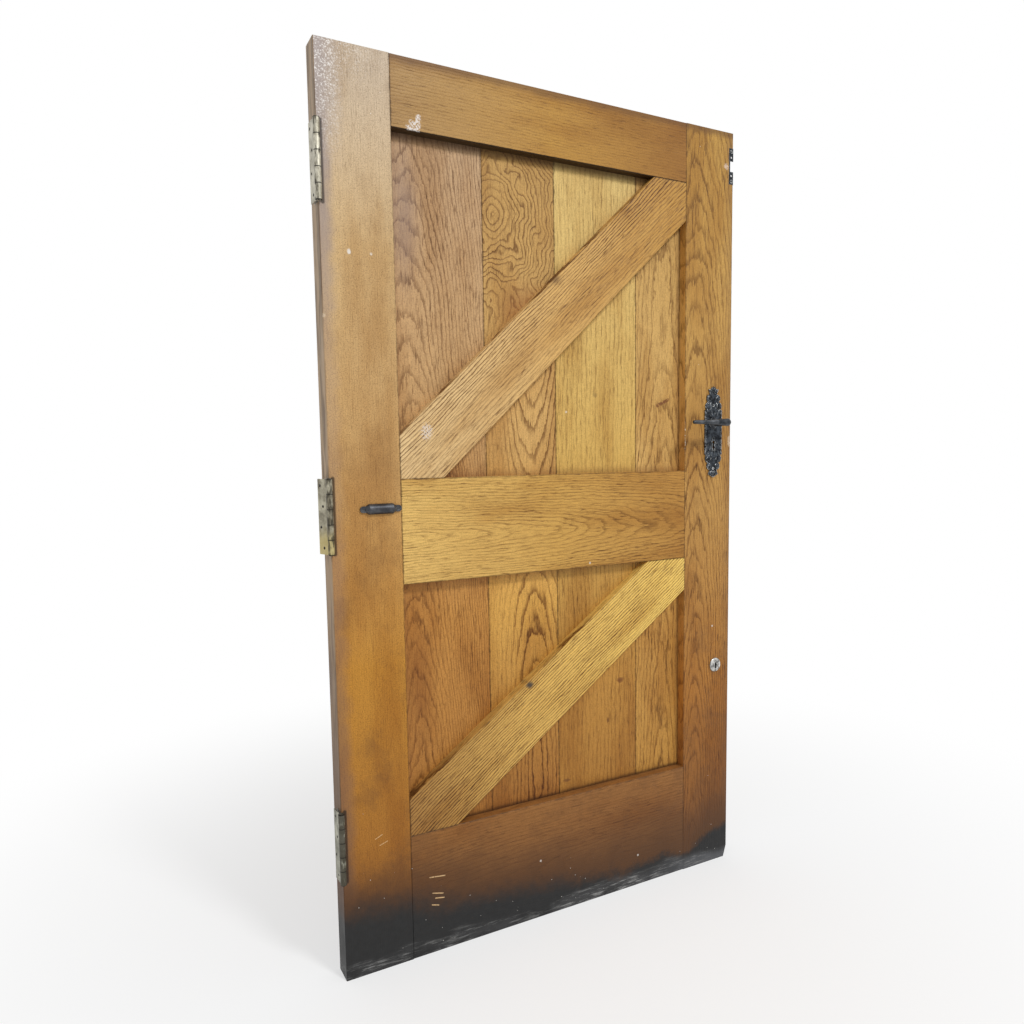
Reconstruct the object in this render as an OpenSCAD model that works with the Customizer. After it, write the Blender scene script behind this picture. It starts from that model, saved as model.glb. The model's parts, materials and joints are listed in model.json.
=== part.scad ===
// Framed, ledged and braced oak door leaf with butt hinges and iron lever furniture.
// Origin at the middle of the bottom edge, +X towards the lock edge, -Y towards the braced face, +Z up.

/* [Leaf] */
// Width of the door leaf
leaf_w = 1120; // [1060:1:1240]
// Height of the door leaf
leaf_h = 2000; // [1980:1:2100]
// Thickness of the rails and braces in front of the boards
ledge_t = 25; // [23:1:30]
// Thickness of the boards
board_t = 27; // [25:1:32]
// Width lost at the worn lower corner of the lock stile
worn_w = 11.5; // [4:0.5:16]
// Height lost at the worn lower corner of the lock stile
worn_h = 37; // [15:1:50]
// Width of the eased arrises on the front of the stiles, rails and braces
arris = 1.5; // [0.5:0.1:2.5]
// Width of the eased arrises of the boards at their seams
board_arris = 1; // [0.5:0.1:1.5]

/* [Stiles and rails] */
// Width of each stile
stile_w = 160; // [156:1:172]
// Height of the top rail
top_rail_h = 148; // [130:1:170]
// Height of the middle rail
middle_rail_h = 234; // [200:1:250]
// Height of the middle rail's centre above the bottom edge
middle_rail_z = 995; // [970:1:1005]
// Height of the bottom rail
bottom_rail_h = 296; // [260:1:320]
// Width of each diagonal brace
brace_w = 140; // [120:1:150]

/* [Joinery] */
// Length of each tenon
tenon_l = 50; // [40:1:52]
// Thickness of each tenon
tenon_t = 11; // [9:1:12]
// Distance from the face of a rail to its tenons
tenon_set = 7; // [6:1:8]
// Height left as a shoulder above and below the tenons
tenon_shoulder = 22; // [18:1:28]
// Height between the two tenons of a wide rail
tenon_gap = 50; // [40:1:60]
// Lap of the boards behind the stiles and the top rail
board_lap = 15; // [12:1:18]
// Length of the tongue on each board
tongue_l = 8; // [6:1:10]
// Thickness of the tongue on each board
tongue_t = 9; // [7:1:10]
// Visible width of the board beside the hinge stile
board_1_w = 222; // [200:1:235]
// Visible width of the second board
board_2_w = 192; // [170:1:205]
// Visible width of the third board
board_3_w = 242; // [220:1:255]
// Visible width of the board beside the lock stile
board_4_w = 144; // [125:1:160]
// Length of the nails that hold the boards
nail_l = 44; // [38:1:46]
// Radius of a nail's shank
nail_r = 1.6; // [1.2:0.1:2]
// Distance from the edges of a rail to its rows of nails
nail_edge = 60; // [45:1:80]

/* [Hinges] */
// Height of each hinge
hinge_h = 160; // [140:1:180]
// Width of a hinge leaf from the pin's axis to its edge
hinge_leaf_w = 38; // [36:1:44]
// Thickness of a hinge leaf
hinge_leaf_t = 3; // [2.5:0.1:3.5]
// Gap between the two leaves when closed
hinge_gap = 2; // [1.5:0.1:3]
// Outer radius of the knuckles
knuckle_r = 7; // [6.5:0.1:7.5]
// Number of knuckles
knuckle_count = 5; // [3:2:7]
// Radius of a hinge pin
hinge_pin_r = 4; // [3:0.1:4.5]
// Height of the bottom hinge's centre above the bottom edge
bottom_hinge_z = 310; // [250:1:400]
// Height of the middle hinge's centre above the bottom edge
middle_hinge_z = 1037; // [900:1:1150]
// Distance from the top edge down to the top hinge's centre
top_hinge_drop = 240; // [180:1:320]
// Resting angle of the top frame leaf from closed
top_open = 3; // [1:1:30]
// Resting angle of the middle frame leaf from closed
middle_open = 18; // [1:1:30]
// Resting angle of the bottom frame leaf from closed
bottom_open = 3; // [1:1:30]
// Radius of the screw holes in the hinge leaves
hinge_hole_r = 2.6; // [2.2:0.1:3]
// Distance along the hinge between its outermost screw holes
hinge_hole_span = 132; // [105:1:134]
// Distance from the pin's axis to the outer row of holes
hinge_hole_out = 29.5; // [29:0.5:30]
// Distance from the pin's axis to the inner row of holes
hinge_hole_in = 20.5; // [18:0.5:21]
// Length of a hinge screw
hinge_screw_l = 28; // [20:1:35]

/* [Lever furniture] */
// Distance from the lock edge to the spindle
lock_backset = 64; // [60:1:66]
// Height of the spindle above the bottom edge
spindle_z = 1238; // [1225:1:1300]
// Width of each plate
plate_w = 59.6; // [56:0.2:66]
// Height of each plate
plate_h = 245; // [230:1:260]
// Height of a plate's top above the spindle
plate_rise = 99; // [90:1:105]
// Thickness of each plate
plate_t = 3; // [2.5:0.1:4]
// Height of the scalloped crown of a plate
crown_h = 64; // [60:1:70]
// Height of the scalloped foot of a plate
foot_h = 61; // [58:1:66]
// Radius of the large scallops
scallop_r = 12; // [10.5:0.5:13]
// Radius of the small scallops
small_scallop_r = 10; // [9:0.5:11]
// Width of a plate between its scallops and its tips
plate_neck_w = 24; // [20:1:28]
// Width across the square spindle
spindle_w = 8; // [7:0.5:9]
// Distance from the door's face to the axis of a grip
lever_reach = 55; // [48:1:62]
// Length of a grip from the spindle's axis to its tip
lever_l = 117; // [100:1:130]
// Radius of a grip at its root
lever_root_r = 10; // [9.5:0.5:11]
// Radius of a grip at its tip
lever_tip_r = 5; // [4:0.5:6]
// Radius of a lever's neck
lever_neck_r = 9; // [8:0.1:9.4]
// Width of the lozenge-shaped boss at a lever's foot
boss_w = 44; // [38:1:48]
// Height of that boss
boss_h = 36; // [32:1:40]
// Distance that it stands out from the plate
boss_out = 13; // [10:1:16]
// Drop from the spindle to the round part of the keyhole
key_drop = 52; // [50:1:56]
// Radius of the round part of the keyhole
key_r = 4.5; // [4:0.1:5]
// Width of the keyhole's slot
key_w = 5.4; // [5:0.1:6]
// Distance from the round part's centre to the end of the slot
key_slot = 19; // [16:1:20]
// Width of the raised rim round the keyhole
key_rim = 3; // [2:0.5:4]

/* [Mortise lock] */
// Depth of the lock case behind its forend
case_l = 104; // [100:1:106]
// Thickness of the lock case
case_t = 16; // [15:0.5:18]
// Height of the lock case above the spindle
case_rise = 52; // [45:1:58]
// Height of the lock case below the spindle
case_drop = 112; // [95:1:114]
// Thickness of the lock's sheet metal
case_wall = 1.5; // [1:0.1:2]
// Width of the forends
forend_w = 22; // [20:1:24]
// Thickness of the forends
forend_t = 3; // [2.5:0.1:4]
// Length of a forend past its case at each end
forend_end = 20; // [18:1:24]
// Radius of the follower's hub
follower_r = 11; // [10:0.5:12]
// Radius of the follower's journals
journal_r = 8; // [7.5:0.1:8.5]
// Length of the follower's arm from the spindle's axis
arm_r = 18; // [17:0.5:19]
// Width of the follower's arm
arm_w = 10; // [8:0.5:11]
// Distance that the latch stands out of the lock edge
latch_out = 8; // [6:0.5:9]
// Thickness of the bolts
bolt_t = 12; // [10:0.5:12.4]
// Height of the lock's dead bolt
dead_bolt_h = 20; // [16:1:21]
// Drop from the spindle to the top of the dead bolt
dead_bolt_drop = 21; // [20:1:22]
// Throw of the dead bolts
bolt_throw = 15; // [10:1:16]
// Radius of the latch spring's coil
spring_r = 3.2; // [2.8:0.1:3.6]
// Radius of the latch spring's wire
spring_wire_r = 0.6; // [0.4:0.1:0.8]

/* [Lower lock] */
// Distance from the lock edge to the lower keyhole
low_backset = 49; // [46:1:52]
// Height of the lower keyhole above the bottom edge
low_key_z = 569; // [480:1:700]
// Depth of the lower lock case behind its forend
low_case_l = 75; // [70:1:80]
// Thickness of the lower lock case
low_case_t = 14; // [13:0.5:16]
// Height of the lower lock case above its keyhole
low_case_rise = 43; // [40:1:48]
// Height of the lower lock case below its keyhole
low_case_drop = 24; // [20:1:28]
// Height of the lower dead bolt
low_bolt_h = 20; // [16:1:22]
// Radius of the round key plates
rosette_r = 19; // [17:0.5:22]
// Thickness of the round key plates
rosette_t = 4; // [3:0.5:5]
// Radius of the collar that seats a key plate in the wood
rosette_seat_r = 11; // [10:0.5:12]
// Depth of that collar
rosette_seat_l = 8; // [5:1:9]
// Radius of the round part of the lower keyhole
low_key_r = 3.5; // [3:0.1:4]
// Distance from that part's centre to the end of its slot
low_key_slot = 9; // [7:0.5:10]

/* [Keep plate and stop] */
// Distance from the top edge down to the keep plate's centre
keep_drop = 85; // [75:1:110]
// Height of the keep plate
keep_h = 93; // [88:1:100]
// Width of the keep plate
keep_w = 15; // [14:0.5:18]
// Thickness of the keep plate
keep_t = 2; // [1.5:0.1:3]
// Height of the keep plate's slot
keep_slot_h = 27; // [22:1:30]
// Depth of the keep plate's slot from the lock edge
keep_slot_w = 10.5; // [10:0.1:11]
// Depth of the notch in the wood behind the keep plate
keep_notch_d = 22; // [15:1:24]
// Distance from the hinge edge to the stop's centre
stop_inset = 112; // [100:1:113]
// Height of the stop's centre above the bottom edge
stop_z = 1049; // [1000:1:1080]
// Length of the stop from tip to tip
stop_l = 94; // [90:1:96]
// Length of the stop's half-round body
stop_body_l = 72; // [60:1:72]
// Radius of the stop's half-round body
stop_r = 11.5; // [9:0.5:13]
// Width of the stop's end tabs
stop_tab_w = 14; // [12:1:16]
// Thickness of the stop's end tabs
stop_tab_t = 4; // [3:0.5:5]

/* [Hidden] */
$fn = 64;

// Overshoot of the cutting solids
cut = 1;
// Clearance of a running fit, of a fixed fastener in its hole, and between parts that slide or turn
running = 0.05;
fastener_play = 0.05;
play = 0.3;
// Length by which a tenon or tongue is rooted in its own piece
root = 4;

// Planes of the leaf
leaf_t = ledge_t + board_t;
front_y = -leaf_t / 2;
back_y = leaf_t / 2;
board_y = front_y + ledge_t;
edge_x = leaf_w / 2;
inner_x = edge_x - stile_w;
top_rail_z = leaf_h - top_rail_h;
board_top = top_rail_z + board_lap;
middle_low = middle_rail_z - middle_rail_h / 2;
middle_high = middle_rail_z + middle_rail_h / 2;

// Edges of the boards from the hinge side to the lock side, all drawn in or out to fill the frame
board_fit = 2 * inner_x / (board_1_w + board_2_w + board_3_w + board_4_w);
seam_1 = board_fit * board_1_w - inner_x;
seam_2 = seam_1 + board_fit * board_2_w;
seam_3 = seam_2 + board_fit * board_3_w;
board_edges = [-inner_x - board_lap, seam_1, seam_2, seam_3, inner_x + board_lap];
board_middles = [
    (seam_1 - inner_x) / 2, (seam_1 + seam_2) / 2, (seam_2 + seam_3) / 2, (seam_3 + inner_x) / 2
];
board_count = 4;
nail_head_r = 2 * nail_r;
nail_head_h = 1.2;
nail_heights = [nail_edge, bottom_rail_h - nail_edge, middle_low + nail_edge, middle_high - nail_edge];

// Axis of the hinges and the positions on it
hinge_x = -edge_x - hinge_gap / 2;
hinge_y = front_y - knuckle_r - play;
top_hinge_z = leaf_h - top_hinge_drop;
hinge_heights = [bottom_hinge_z, middle_hinge_z, top_hinge_z];
knuckle_h = hinge_h / knuckle_count;
pin_head_h = 1.5;
pin_head_r = hinge_pin_r + pin_head_h;
hinge_holes = 4;
sink_r = 1.9 * hinge_hole_r;
sink_h = 0.65 * hinge_leaf_t;
driver_slot_w = 1;
driver_slot_d = 0.8;

// Places of the lock and its furniture
lock_x = edge_x - lock_backset;
plate_y = front_y - plate_t;
plate_top_screw = plate_h - crown_h + scallop_r;
plate_screw_r = 1.8;
furniture_screw_grip = 12;
plate_screw_l = plate_t + furniture_screw_grip;
crown_tip = 22;
foot_tip = 19;
tip_flare = 5;
scallop_seat = 0.8;
scallop_lap = 1;
scallop_inset = 1.5;
crown_inset = 6;
foot_inset = 7;
plate_low_screw = foot_tip + tip_flare;
key_rim_h = 1.2;
key_rim_t = plate_t + key_rim_h;
boss_taper = 0.45;
rosette_rim = 1.5;
spindle_bore_play = 3;
spindle_bore_r = lever_neck_r + spindle_bore_play;
spindle_end = 24;
case_x = edge_x - forend_t - case_l;
case_low = spindle_z - case_drop;
case_h = case_rise + case_drop;
cavity_t = case_t - 2 * case_wall;
key_z = spindle_z - key_drop;
key_way = 1.5;
lug_w = 5;
lug_gap = 0.6;
lug_x = lock_x - arm_w / 2 - lug_gap - lug_w;
lug_low = 0.55 * arm_r;
bar_play = 0.8;
bar_low = sqrt(pow(arm_r, 2) + pow(arm_w / 2, 2)) + bar_play;
bar_h = 6;
latch_low = 2;
latch_high = bar_low + bar_h;
latch_head_l = 27;
latch_bevel = 0.85 * latch_out;
latch_lip = 1;
tail_t = 8;
spring_turns = 7;
spring_z = spindle_z + (lug_low + bar_low) / 2;
spring_x = case_x + case_wall;
dead_bolt_low = spindle_z - dead_bolt_drop - dead_bolt_h;
dead_head_l = 30;
dead_tail_l = 78;
dead_tail_t = 5;
dead_inset = 0.5;
stump_r = 2.5;
stump_ahead = 16;
stump_x = lock_x + stump_ahead;
stump_z = dead_bolt_low + 0.68 * dead_bolt_h;
talon_w = 10;
talon_h = 5;
forend_screw_r = 2;
forend_screw_l = 25;

// Places of the lower lock
low_x = edge_x - low_backset;
low_case_x = edge_x - forend_t - low_case_l;
low_case_low = low_key_z - low_case_drop;
low_case_h = low_case_rise + low_case_drop;
low_cavity_t = low_case_t - 2 * case_wall;
low_bolt_gap = 2;
low_bolt_low = low_key_z + low_case_rise - case_wall - low_bolt_gap - low_bolt_h;
low_bolt_l = low_case_l - case_wall - bolt_throw / 2;

// Places of the keep plate and the stop
keep_z = leaf_h - keep_drop;
keep_x = edge_x - keep_w;
keep_screw_end = 8.5;
keep_screw_z = keep_h / 2 - keep_screw_end;
keep_screw_r = 2.2;
keep_screw_l = 20;
keep_hole_x = edge_x - 0.4 * keep_w;
keep_hole_r = 2.8;
keep_hole_gap = 10;
keep_hole_z = keep_slot_h / 2 + keep_hole_gap;
keep_margin = 1.5;
keep_notch_x = edge_x - keep_slot_w - 2 * keep_margin;
keep_notch_h = 2 * (keep_hole_z + keep_hole_r + keep_margin);
stop_x = stop_inset - edge_x;
stop_shoulder = 9;
stop_end_r = 0.8 * stop_tab_w / 2;
stop_screw_x = (stop_l - stop_tab_w) / 2;
stop_screw_r = 1.8;
stop_screw_l = stop_tab_t + furniture_screw_grip;

// Colours
oak = "#a8743a";
pale_oak = "#bd8a48";
steel = "#a79c86";
iron = "#2e3136";
chrome = "#c9cacc";
gunmetal = "#3c3e42";
brass = "#b08d4f";

// Countersunk screws and the holes that they fill

// Wood screw along +Z with its countersunk head flush at the origin
module screw(r, l) {
    head_r = 2 * r;
    difference() {
        rotate_extrude()
            polygon([[0, 0], [head_r, 0], [r, r], [r, l - 2 * r], [0, l]]);
        translate([-head_r, -r / 4, -cut])
            cube([2 * head_r, r / 2, cut + r / 2]);
    }
}

// Hole that such a screw fills
module screw_hole(r, l) {
    head_r = 2 * r + fastener_play;
    shank_r = r + fastener_play;
    rotate_extrude()
        polygon([
            [0, -cut], [head_r, -cut], [head_r, 0], [shank_r, r],
            [shank_r, l - 2 * r], [0, l + fastener_play]
        ]);
}

// Turns a fastener to run into the front face, the back face or the lock edge
module into_front() {
    rotate([-90, 0, 0]) children();
}

module into_back() {
    rotate([90, 0, 0]) children();
}

module into_lock_edge() {
    rotate([0, -90, 0]) children();
}

// Outline in the plane of the door, given thickness towards the front from a plane y
module sheet(y, t) {
    translate([0, y, 0])
        rotate([90, 0, 0])
            linear_extrude(t)
                children();
}

// Keyhole with its round part at the origin
module keyhole(r, w, slot) {
    circle(r);
    translate([-w / 2, -slot])
        square([w, slot]);
}

// Frame members

// Section of a piece of wood with its face along the X axis and both front arrises eased
module section(w, t, ease) {
    polygon([[ease, 0], [w - ease, 0], [w, ease], [w, t], [0, t], [0, ease]]);
}

// Rail between the stiles with its front arrises eased
module rail(low, h, t) {
    translate([inner_x, front_y, low])
        rotate([0, -90, 0])
            linear_extrude(2 * inner_x)
                section(h, t, arris);
}

module tenons(low, h, count) {
    tenon_h = (h - 2 * tenon_shoulder - (count - 1) * tenon_gap) / count;
    for (side = [-1, 1])
        for (i = [0 : count - 1])
            translate([
                side < 0 ? -inner_x - tenon_l : inner_x - root,
                front_y + tenon_set,
                low + tenon_shoulder + i * (tenon_h + tenon_gap)
            ])
                cube([tenon_l + root, tenon_t, tenon_h]);
}

module top_tenons() {
    tenons(top_rail_z, top_rail_h, 1);
}

module middle_tenons() {
    tenons(middle_low, middle_rail_h, 2);
}

module bottom_tenons() {
    tenons(0, bottom_rail_h, 2);
}

module stile(side) {
    difference() {
        translate([side < 0 ? -edge_x : inner_x, front_y, 0])
            linear_extrude(leaf_h)
                section(stile_w, leaf_t, arris);
        translate([side < 0 ? -inner_x - board_lap : inner_x - cut, board_y, -cut])
            cube([board_lap + cut, board_t + cut, board_top + cut]);
        top_tenons();
        middle_tenons();
        bottom_tenons();
    }
}

module hinge_stile() {
    color(oak)
        difference() {
            stile(-1);
            hinge_recesses();
            hinge_screw_places()
                screw_hole(hinge_hole_r - fastener_play, hinge_screw_l);
            stop_screw_places()
                screw_hole(stop_screw_r, stop_screw_l);
        }
}

module lock_stile() {
    color(oak)
        difference() {
            stile(1);
            worn_corner();
            lock_mortise();
            low_lock_mortise();
            furniture_holes();
            keep_recess();
        }
}

// Lower corner of the lock stile that has worn and broken away
module worn_corner() {
    sheet(back_y + cut, leaf_t + 2 * cut)
        polygon([
            [edge_x - worn_w, 0], [edge_x - worn_w - cut, -cut], [edge_x + cut, -cut],
            [edge_x + cut, worn_h + cut], [edge_x, worn_h]
        ]);
}

module lock_mortise() {
    translate([case_x, -case_t / 2, case_low])
        cube([case_l + cut, case_t, case_h]);
    forend_recess(case_low, case_h);
    forend_screw_places()
        screw_hole(forend_screw_r, forend_screw_l);
}

module low_lock_mortise() {
    translate([low_case_x, -low_case_t / 2, low_case_low])
        cube([low_case_l + cut, low_case_t, low_case_h]);
    forend_recess(low_case_low, low_case_h);
}

module forend_recess(low, h) {
    translate([edge_x - forend_t, -forend_w / 2, low - forend_end])
        cube([forend_t + cut, forend_w, h + 2 * forend_end]);
}

// Bores and key ways through the lock stile for both locks
module furniture_holes() {
    translate([lock_x, 0, spindle_z])
        rotate([90, 0, 0])
            cylinder(r = spindle_bore_r, h = leaf_t + 2 * cut, center = true);
    sheet(back_y + cut, leaf_t + 2 * cut)
        translate([lock_x, key_z])
            keyhole(key_r + key_way, key_w + 2 * key_way, key_slot + key_way);
    sheet(back_y + cut, leaf_t + 2 * cut)
        translate([low_x, low_key_z])
            keyhole(low_key_r + key_way, key_w + 2 * key_way, low_key_slot + key_way);
    for (side = [-1, 1])
        translate([low_x, side * leaf_t / 2, low_key_z])
            rotate([90, 0, 0])
                cylinder(r = rosette_seat_r + fastener_play, h = 2 * rosette_seat_l, center = true);
    plate_screw_places()
        screw_hole(plate_screw_r, plate_screw_l);
}

module keep_recess() {
    translate([keep_x, front_y - cut, keep_z - keep_h / 2])
        cube([keep_w + cut, keep_t + cut, keep_h]);
    translate([keep_notch_x, front_y - cut, keep_z - keep_notch_h / 2])
        cube([edge_x - keep_notch_x + cut, keep_notch_d + cut, keep_notch_h]);
    keep_screw_places()
        screw_hole(keep_screw_r, keep_screw_l);
}

module top_rail() {
    color(oak)
        difference() {
            union() {
                rail(top_rail_z, top_rail_h, leaf_t);
                top_tenons();
            }
            translate([-inner_x - cut, board_y, top_rail_z - cut])
                cube([2 * (inner_x + cut), board_t + cut, board_lap + cut]);
        }
}

module middle_rail() {
    color(pale_oak)
        difference() {
            union() {
                rail(middle_low, middle_rail_h, ledge_t);
                middle_tenons();
            }
            nail_holes();
            stop_screw_places()
                screw_hole(stop_screw_r, stop_screw_l);
        }
}

module bottom_rail() {
    color(oak)
        difference() {
            union() {
                rail(0, bottom_rail_h, ledge_t);
                bottom_tenons();
            }
            nail_holes();
        }
}

// Diagonal between two rails, cut at each end to fit into the corner of stile and rail
module brace(low, high) {
    slope = atan2(high - low, 2 * inner_x);
    intersection() {
        translate([-inner_x, front_y, low])
            cube([2 * inner_x, ledge_t, high - low]);
        translate([0, front_y, (low + high) / 2])
            rotate([0, -90 - slope, 0])
                translate([-brace_w / 2, 0, 0])
                    linear_extrude(4 * inner_x, center = true)
                        section(brace_w, ledge_t, arris);
    }
}

module upper_brace() {
    color(pale_oak)
        brace(middle_high, top_rail_z);
}

module lower_brace() {
    color(pale_oak)
        brace(bottom_rail_h, middle_low);
}

// Boards

module board(i) {
    low_x_edge = board_edges[i];
    high_x_edge = board_edges[i + 1];
    tongue_y = board_y + (board_t - tongue_t) / 2;
    difference() {
        union() {
            translate([low_x_edge, board_y, 0])
                linear_extrude(board_top)
                    section(high_x_edge - low_x_edge, board_t, board_arris);
            if (i < board_count - 1)
                translate([high_x_edge - root, tongue_y, 0])
                    cube([root + tongue_l, tongue_t, board_top]);
        }
        if (i > 0)
            translate([low_x_edge - cut, tongue_y, -cut])
                cube([tongue_l + cut, tongue_t, board_top + 2 * cut]);
        nail_holes();
    }
}

module board_1() {
    color(oak)
        board(0);
}

module board_2() {
    color(oak)
        board(1);
}

module board_3() {
    color(pale_oak)
        board(2);
}

module board_4() {
    color(oak)
        board(3);
}

module nail_places() {
    for (x = board_middles)
        for (z = nail_heights)
            translate([x, back_y, z])
                into_back()
                    children();
}

module nail(grow) {
    translate([0, 0, -(grow > 0 ? cut : 0)])
        cylinder(r = nail_head_r + grow, h = nail_head_h + (grow > 0 ? cut : 0));
    cylinder(r = nail_r + grow, h = nail_l + grow);
}

module nail_holes() {
    nail_places()
        nail(fastener_play);
}

module board_nails() {
    color(iron)
        nail_places()
            nail(0);
}

// Hinges, drawn about their pin's axis at the middle of their height

module at_hinge(z) {
    translate([hinge_x, hinge_y, z]) children();
}

// Knuckles of one leaf, every second one from the given start
module knuckles(first) {
    for (i = [first : 2 : knuckle_count - 1]) {
        low = i * knuckle_h - hinge_h / 2 + (i == 0 ? 0 : play / 2);
        high = (i + 1) * knuckle_h - hinge_h / 2 - (i == knuckle_count - 1 ? 0 : play / 2);
        translate([0, 0, low])
            cylinder(r = knuckle_r, h = high - low);
        translate([hinge_gap / 2, 0, low])
            cube([hinge_leaf_t, knuckle_r + root, high - low]);
    }
}

// Zigzag row of screw places on a leaf, each along +X from the leaf's inner face
module leaf_holes() {
    for (i = [0 : hinge_holes - 1])
        translate([
            hinge_gap / 2,
            i % 2 == 0 ? hinge_hole_out : hinge_hole_in,
            hinge_hole_span * (0.5 - i / (hinge_holes - 1))
        ])
            rotate([0, 90, 0])
                children();
}

module leaf_hole() {
    translate([0, 0, -cut])
        cylinder(r = hinge_hole_r, h = hinge_leaf_t + 2 * cut);
    rotate_extrude()
        polygon([
            [0, -cut], [sink_r, -cut], [sink_r, 0], [hinge_hole_r, sink_h], [0, sink_h]
        ]);
}

module hinge_leaf(first) {
    leaf_start = knuckle_r + play;
    difference() {
        union() {
            knuckles(first);
            translate([hinge_gap / 2, leaf_start, -hinge_h / 2])
                cube([hinge_leaf_t, hinge_leaf_w - leaf_start, hinge_h]);
        }
        cylinder(r = hinge_pin_r + running, h = hinge_h + 2 * cut, center = true);
        leaf_holes()
            leaf_hole();
    }
}

module door_leaf(z) {
    color(steel)
        at_hinge(z)
            hinge_leaf(1);
}

module frame_leaf(z, open) {
    color(steel)
        at_hinge(z)
            rotate(open)
                mirror([1, 0, 0])
                    hinge_leaf(0);
}

module hinge_pin(z) {
    color(steel)
        at_hinge(z) {
            cylinder(r = hinge_pin_r, h = hinge_h, center = true);
            for (side = [-1, 1])
                translate([0, 0, side * (hinge_h + pin_head_h) / 2])
                    cylinder(r = pin_head_r, h = pin_head_h, center = true);
        }
}

module hinge_recesses() {
    for (z = hinge_heights)
        translate([-edge_x - cut, front_y - cut, z - hinge_h / 2])
            cube([hinge_leaf_t + cut, hinge_y + hinge_leaf_w - front_y + cut, hinge_h]);
}

module hinge_screw_places() {
    for (z = hinge_heights)
        at_hinge(z)
            leaf_holes()
                children();
}

// Screw whose head fills the countersink of a leaf
module hinge_screw() {
    shank_r = hinge_hole_r - fastener_play;
    head_r = sink_r - fastener_play;
    difference() {
        rotate_extrude()
            polygon([
                [0, 0], [head_r, 0], [shank_r, sink_h],
                [shank_r, hinge_screw_l - 2 * shank_r], [0, hinge_screw_l]
            ]);
        translate([-head_r, -driver_slot_w / 2, -cut])
            cube([2 * head_r, driver_slot_w, cut + driver_slot_d]);
    }
}

module hinge_screws() {
    color(brass)
        hinge_screw_places()
            hinge_screw();
}

module top_hinge_door_leaf() {
    door_leaf(top_hinge_z);
}

module top_hinge_frame_leaf() {
    frame_leaf(top_hinge_z, top_open);
}

module top_hinge_pin() {
    hinge_pin(top_hinge_z);
}

module middle_hinge_door_leaf() {
    door_leaf(middle_hinge_z);
}

module middle_hinge_frame_leaf() {
    frame_leaf(middle_hinge_z, middle_open);
}

module middle_hinge_pin() {
    hinge_pin(middle_hinge_z);
}

module bottom_hinge_door_leaf() {
    door_leaf(bottom_hinge_z);
}

module bottom_hinge_frame_leaf() {
    frame_leaf(bottom_hinge_z, bottom_open);
}

module bottom_hinge_pin() {
    hinge_pin(bottom_hinge_z);
}

// Lever furniture

// Mirrors a front piece of the furniture to the back face
module on_back() {
    mirror([0, 1, 0]) children();
}

// Pair of round scallops at a height, reaching to a half width
module scallops(y, reach, r) {
    for (side = [-1, 1])
        translate([side * (reach - r), y])
            circle(r);
}

// Outline of a plate, from the middle of its lower tip upwards
module plate_outline() {
    half = plate_w / 2;
    neck = plate_neck_w / 2;
    step = scallop_r + small_scallop_r - scallop_lap;
    foot_top = foot_h - scallop_seat * scallop_r;
    crown_low = plate_h - crown_h + scallop_seat * scallop_r;
    translate([-half, foot_h])
        square([plate_w, plate_h - crown_h - foot_h]);
    translate([-neck, foot_tip])
        square([plate_neck_w, plate_h - crown_tip - foot_tip]);
    scallops(foot_top, half - scallop_inset, scallop_r);
    scallops(foot_top - step, half - foot_inset, small_scallop_r);
    scallops(crown_low, half - scallop_inset, scallop_r);
    scallops(crown_low + step, half - crown_inset, small_scallop_r);
    translate([0, plate_h - crown_tip])
        crown_points(neck);
    translate([0, foot_tip])
        foot_points(neck);
}

// Five-pointed tip at the top of a plate
module crown_points(neck) {
    polygon([
        [-neck, -cut], [-neck - tip_flare, 0.6 * crown_tip], [-0.75 * neck, 0.5 * crown_tip],
        [-0.5 * neck, 0.86 * crown_tip], [-0.25 * neck, 0.68 * crown_tip], [0, crown_tip],
        [0.25 * neck, 0.68 * crown_tip], [0.5 * neck, 0.86 * crown_tip],
        [0.75 * neck, 0.5 * crown_tip], [neck + tip_flare, 0.6 * crown_tip], [neck, -cut]
    ]);
}

// Flared tip at the foot of a plate
module foot_points(neck) {
    polygon([
        [-neck, cut], [-neck - tip_flare, -0.55 * foot_tip], [-0.7 * neck, -0.8 * foot_tip],
        [0, -foot_tip], [0.7 * neck, -0.8 * foot_tip], [neck + tip_flare, -0.55 * foot_tip],
        [neck, cut]
    ]);
}

module plate() {
    plate_low = spindle_z + plate_rise - plate_h;
    difference() {
        union() {
            sheet(front_y, plate_t)
                translate([lock_x, plate_low])
                    plate_outline();
            sheet(front_y, key_rim_t)
                translate([lock_x, key_z])
                    keyhole(key_r + key_rim, key_w + 2 * key_rim, key_slot + key_rim);
        }
        sheet(front_y + cut, key_rim_t + 2 * cut)
            translate([lock_x, key_z])
                keyhole(key_r, key_w, key_slot);
        translate([lock_x, front_y, spindle_z])
            rotate([90, 0, 0])
                cylinder(r = lever_neck_r + running, h = 2 * key_rim_t, center = true);
        plate_screw_places()
            screw_hole(plate_screw_r, plate_screw_l);
    }
}

module front_plate() {
    color(iron)
        plate();
}

module back_plate() {
    color(iron)
        on_back()
            plate();
}

module plate_screw_places() {
    plate_low = spindle_z + plate_rise - plate_h;
    for (h = [plate_low_screw, plate_top_screw]) {
        translate([lock_x, plate_y, plate_low + h])
            into_front()
                children();
        translate([lock_x, -plate_y, plate_low + h])
            into_back()
                children();
    }
}

module plate_screws() {
    color(iron)
        plate_screw_places()
            screw(plate_screw_r, plate_screw_l);
}

// Radius of a grip along its length, slim behind the tip and full at the root
function grip_r(t) = lever_root_r + (lever_tip_r - lever_root_r) * sin(90 * t);

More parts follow.
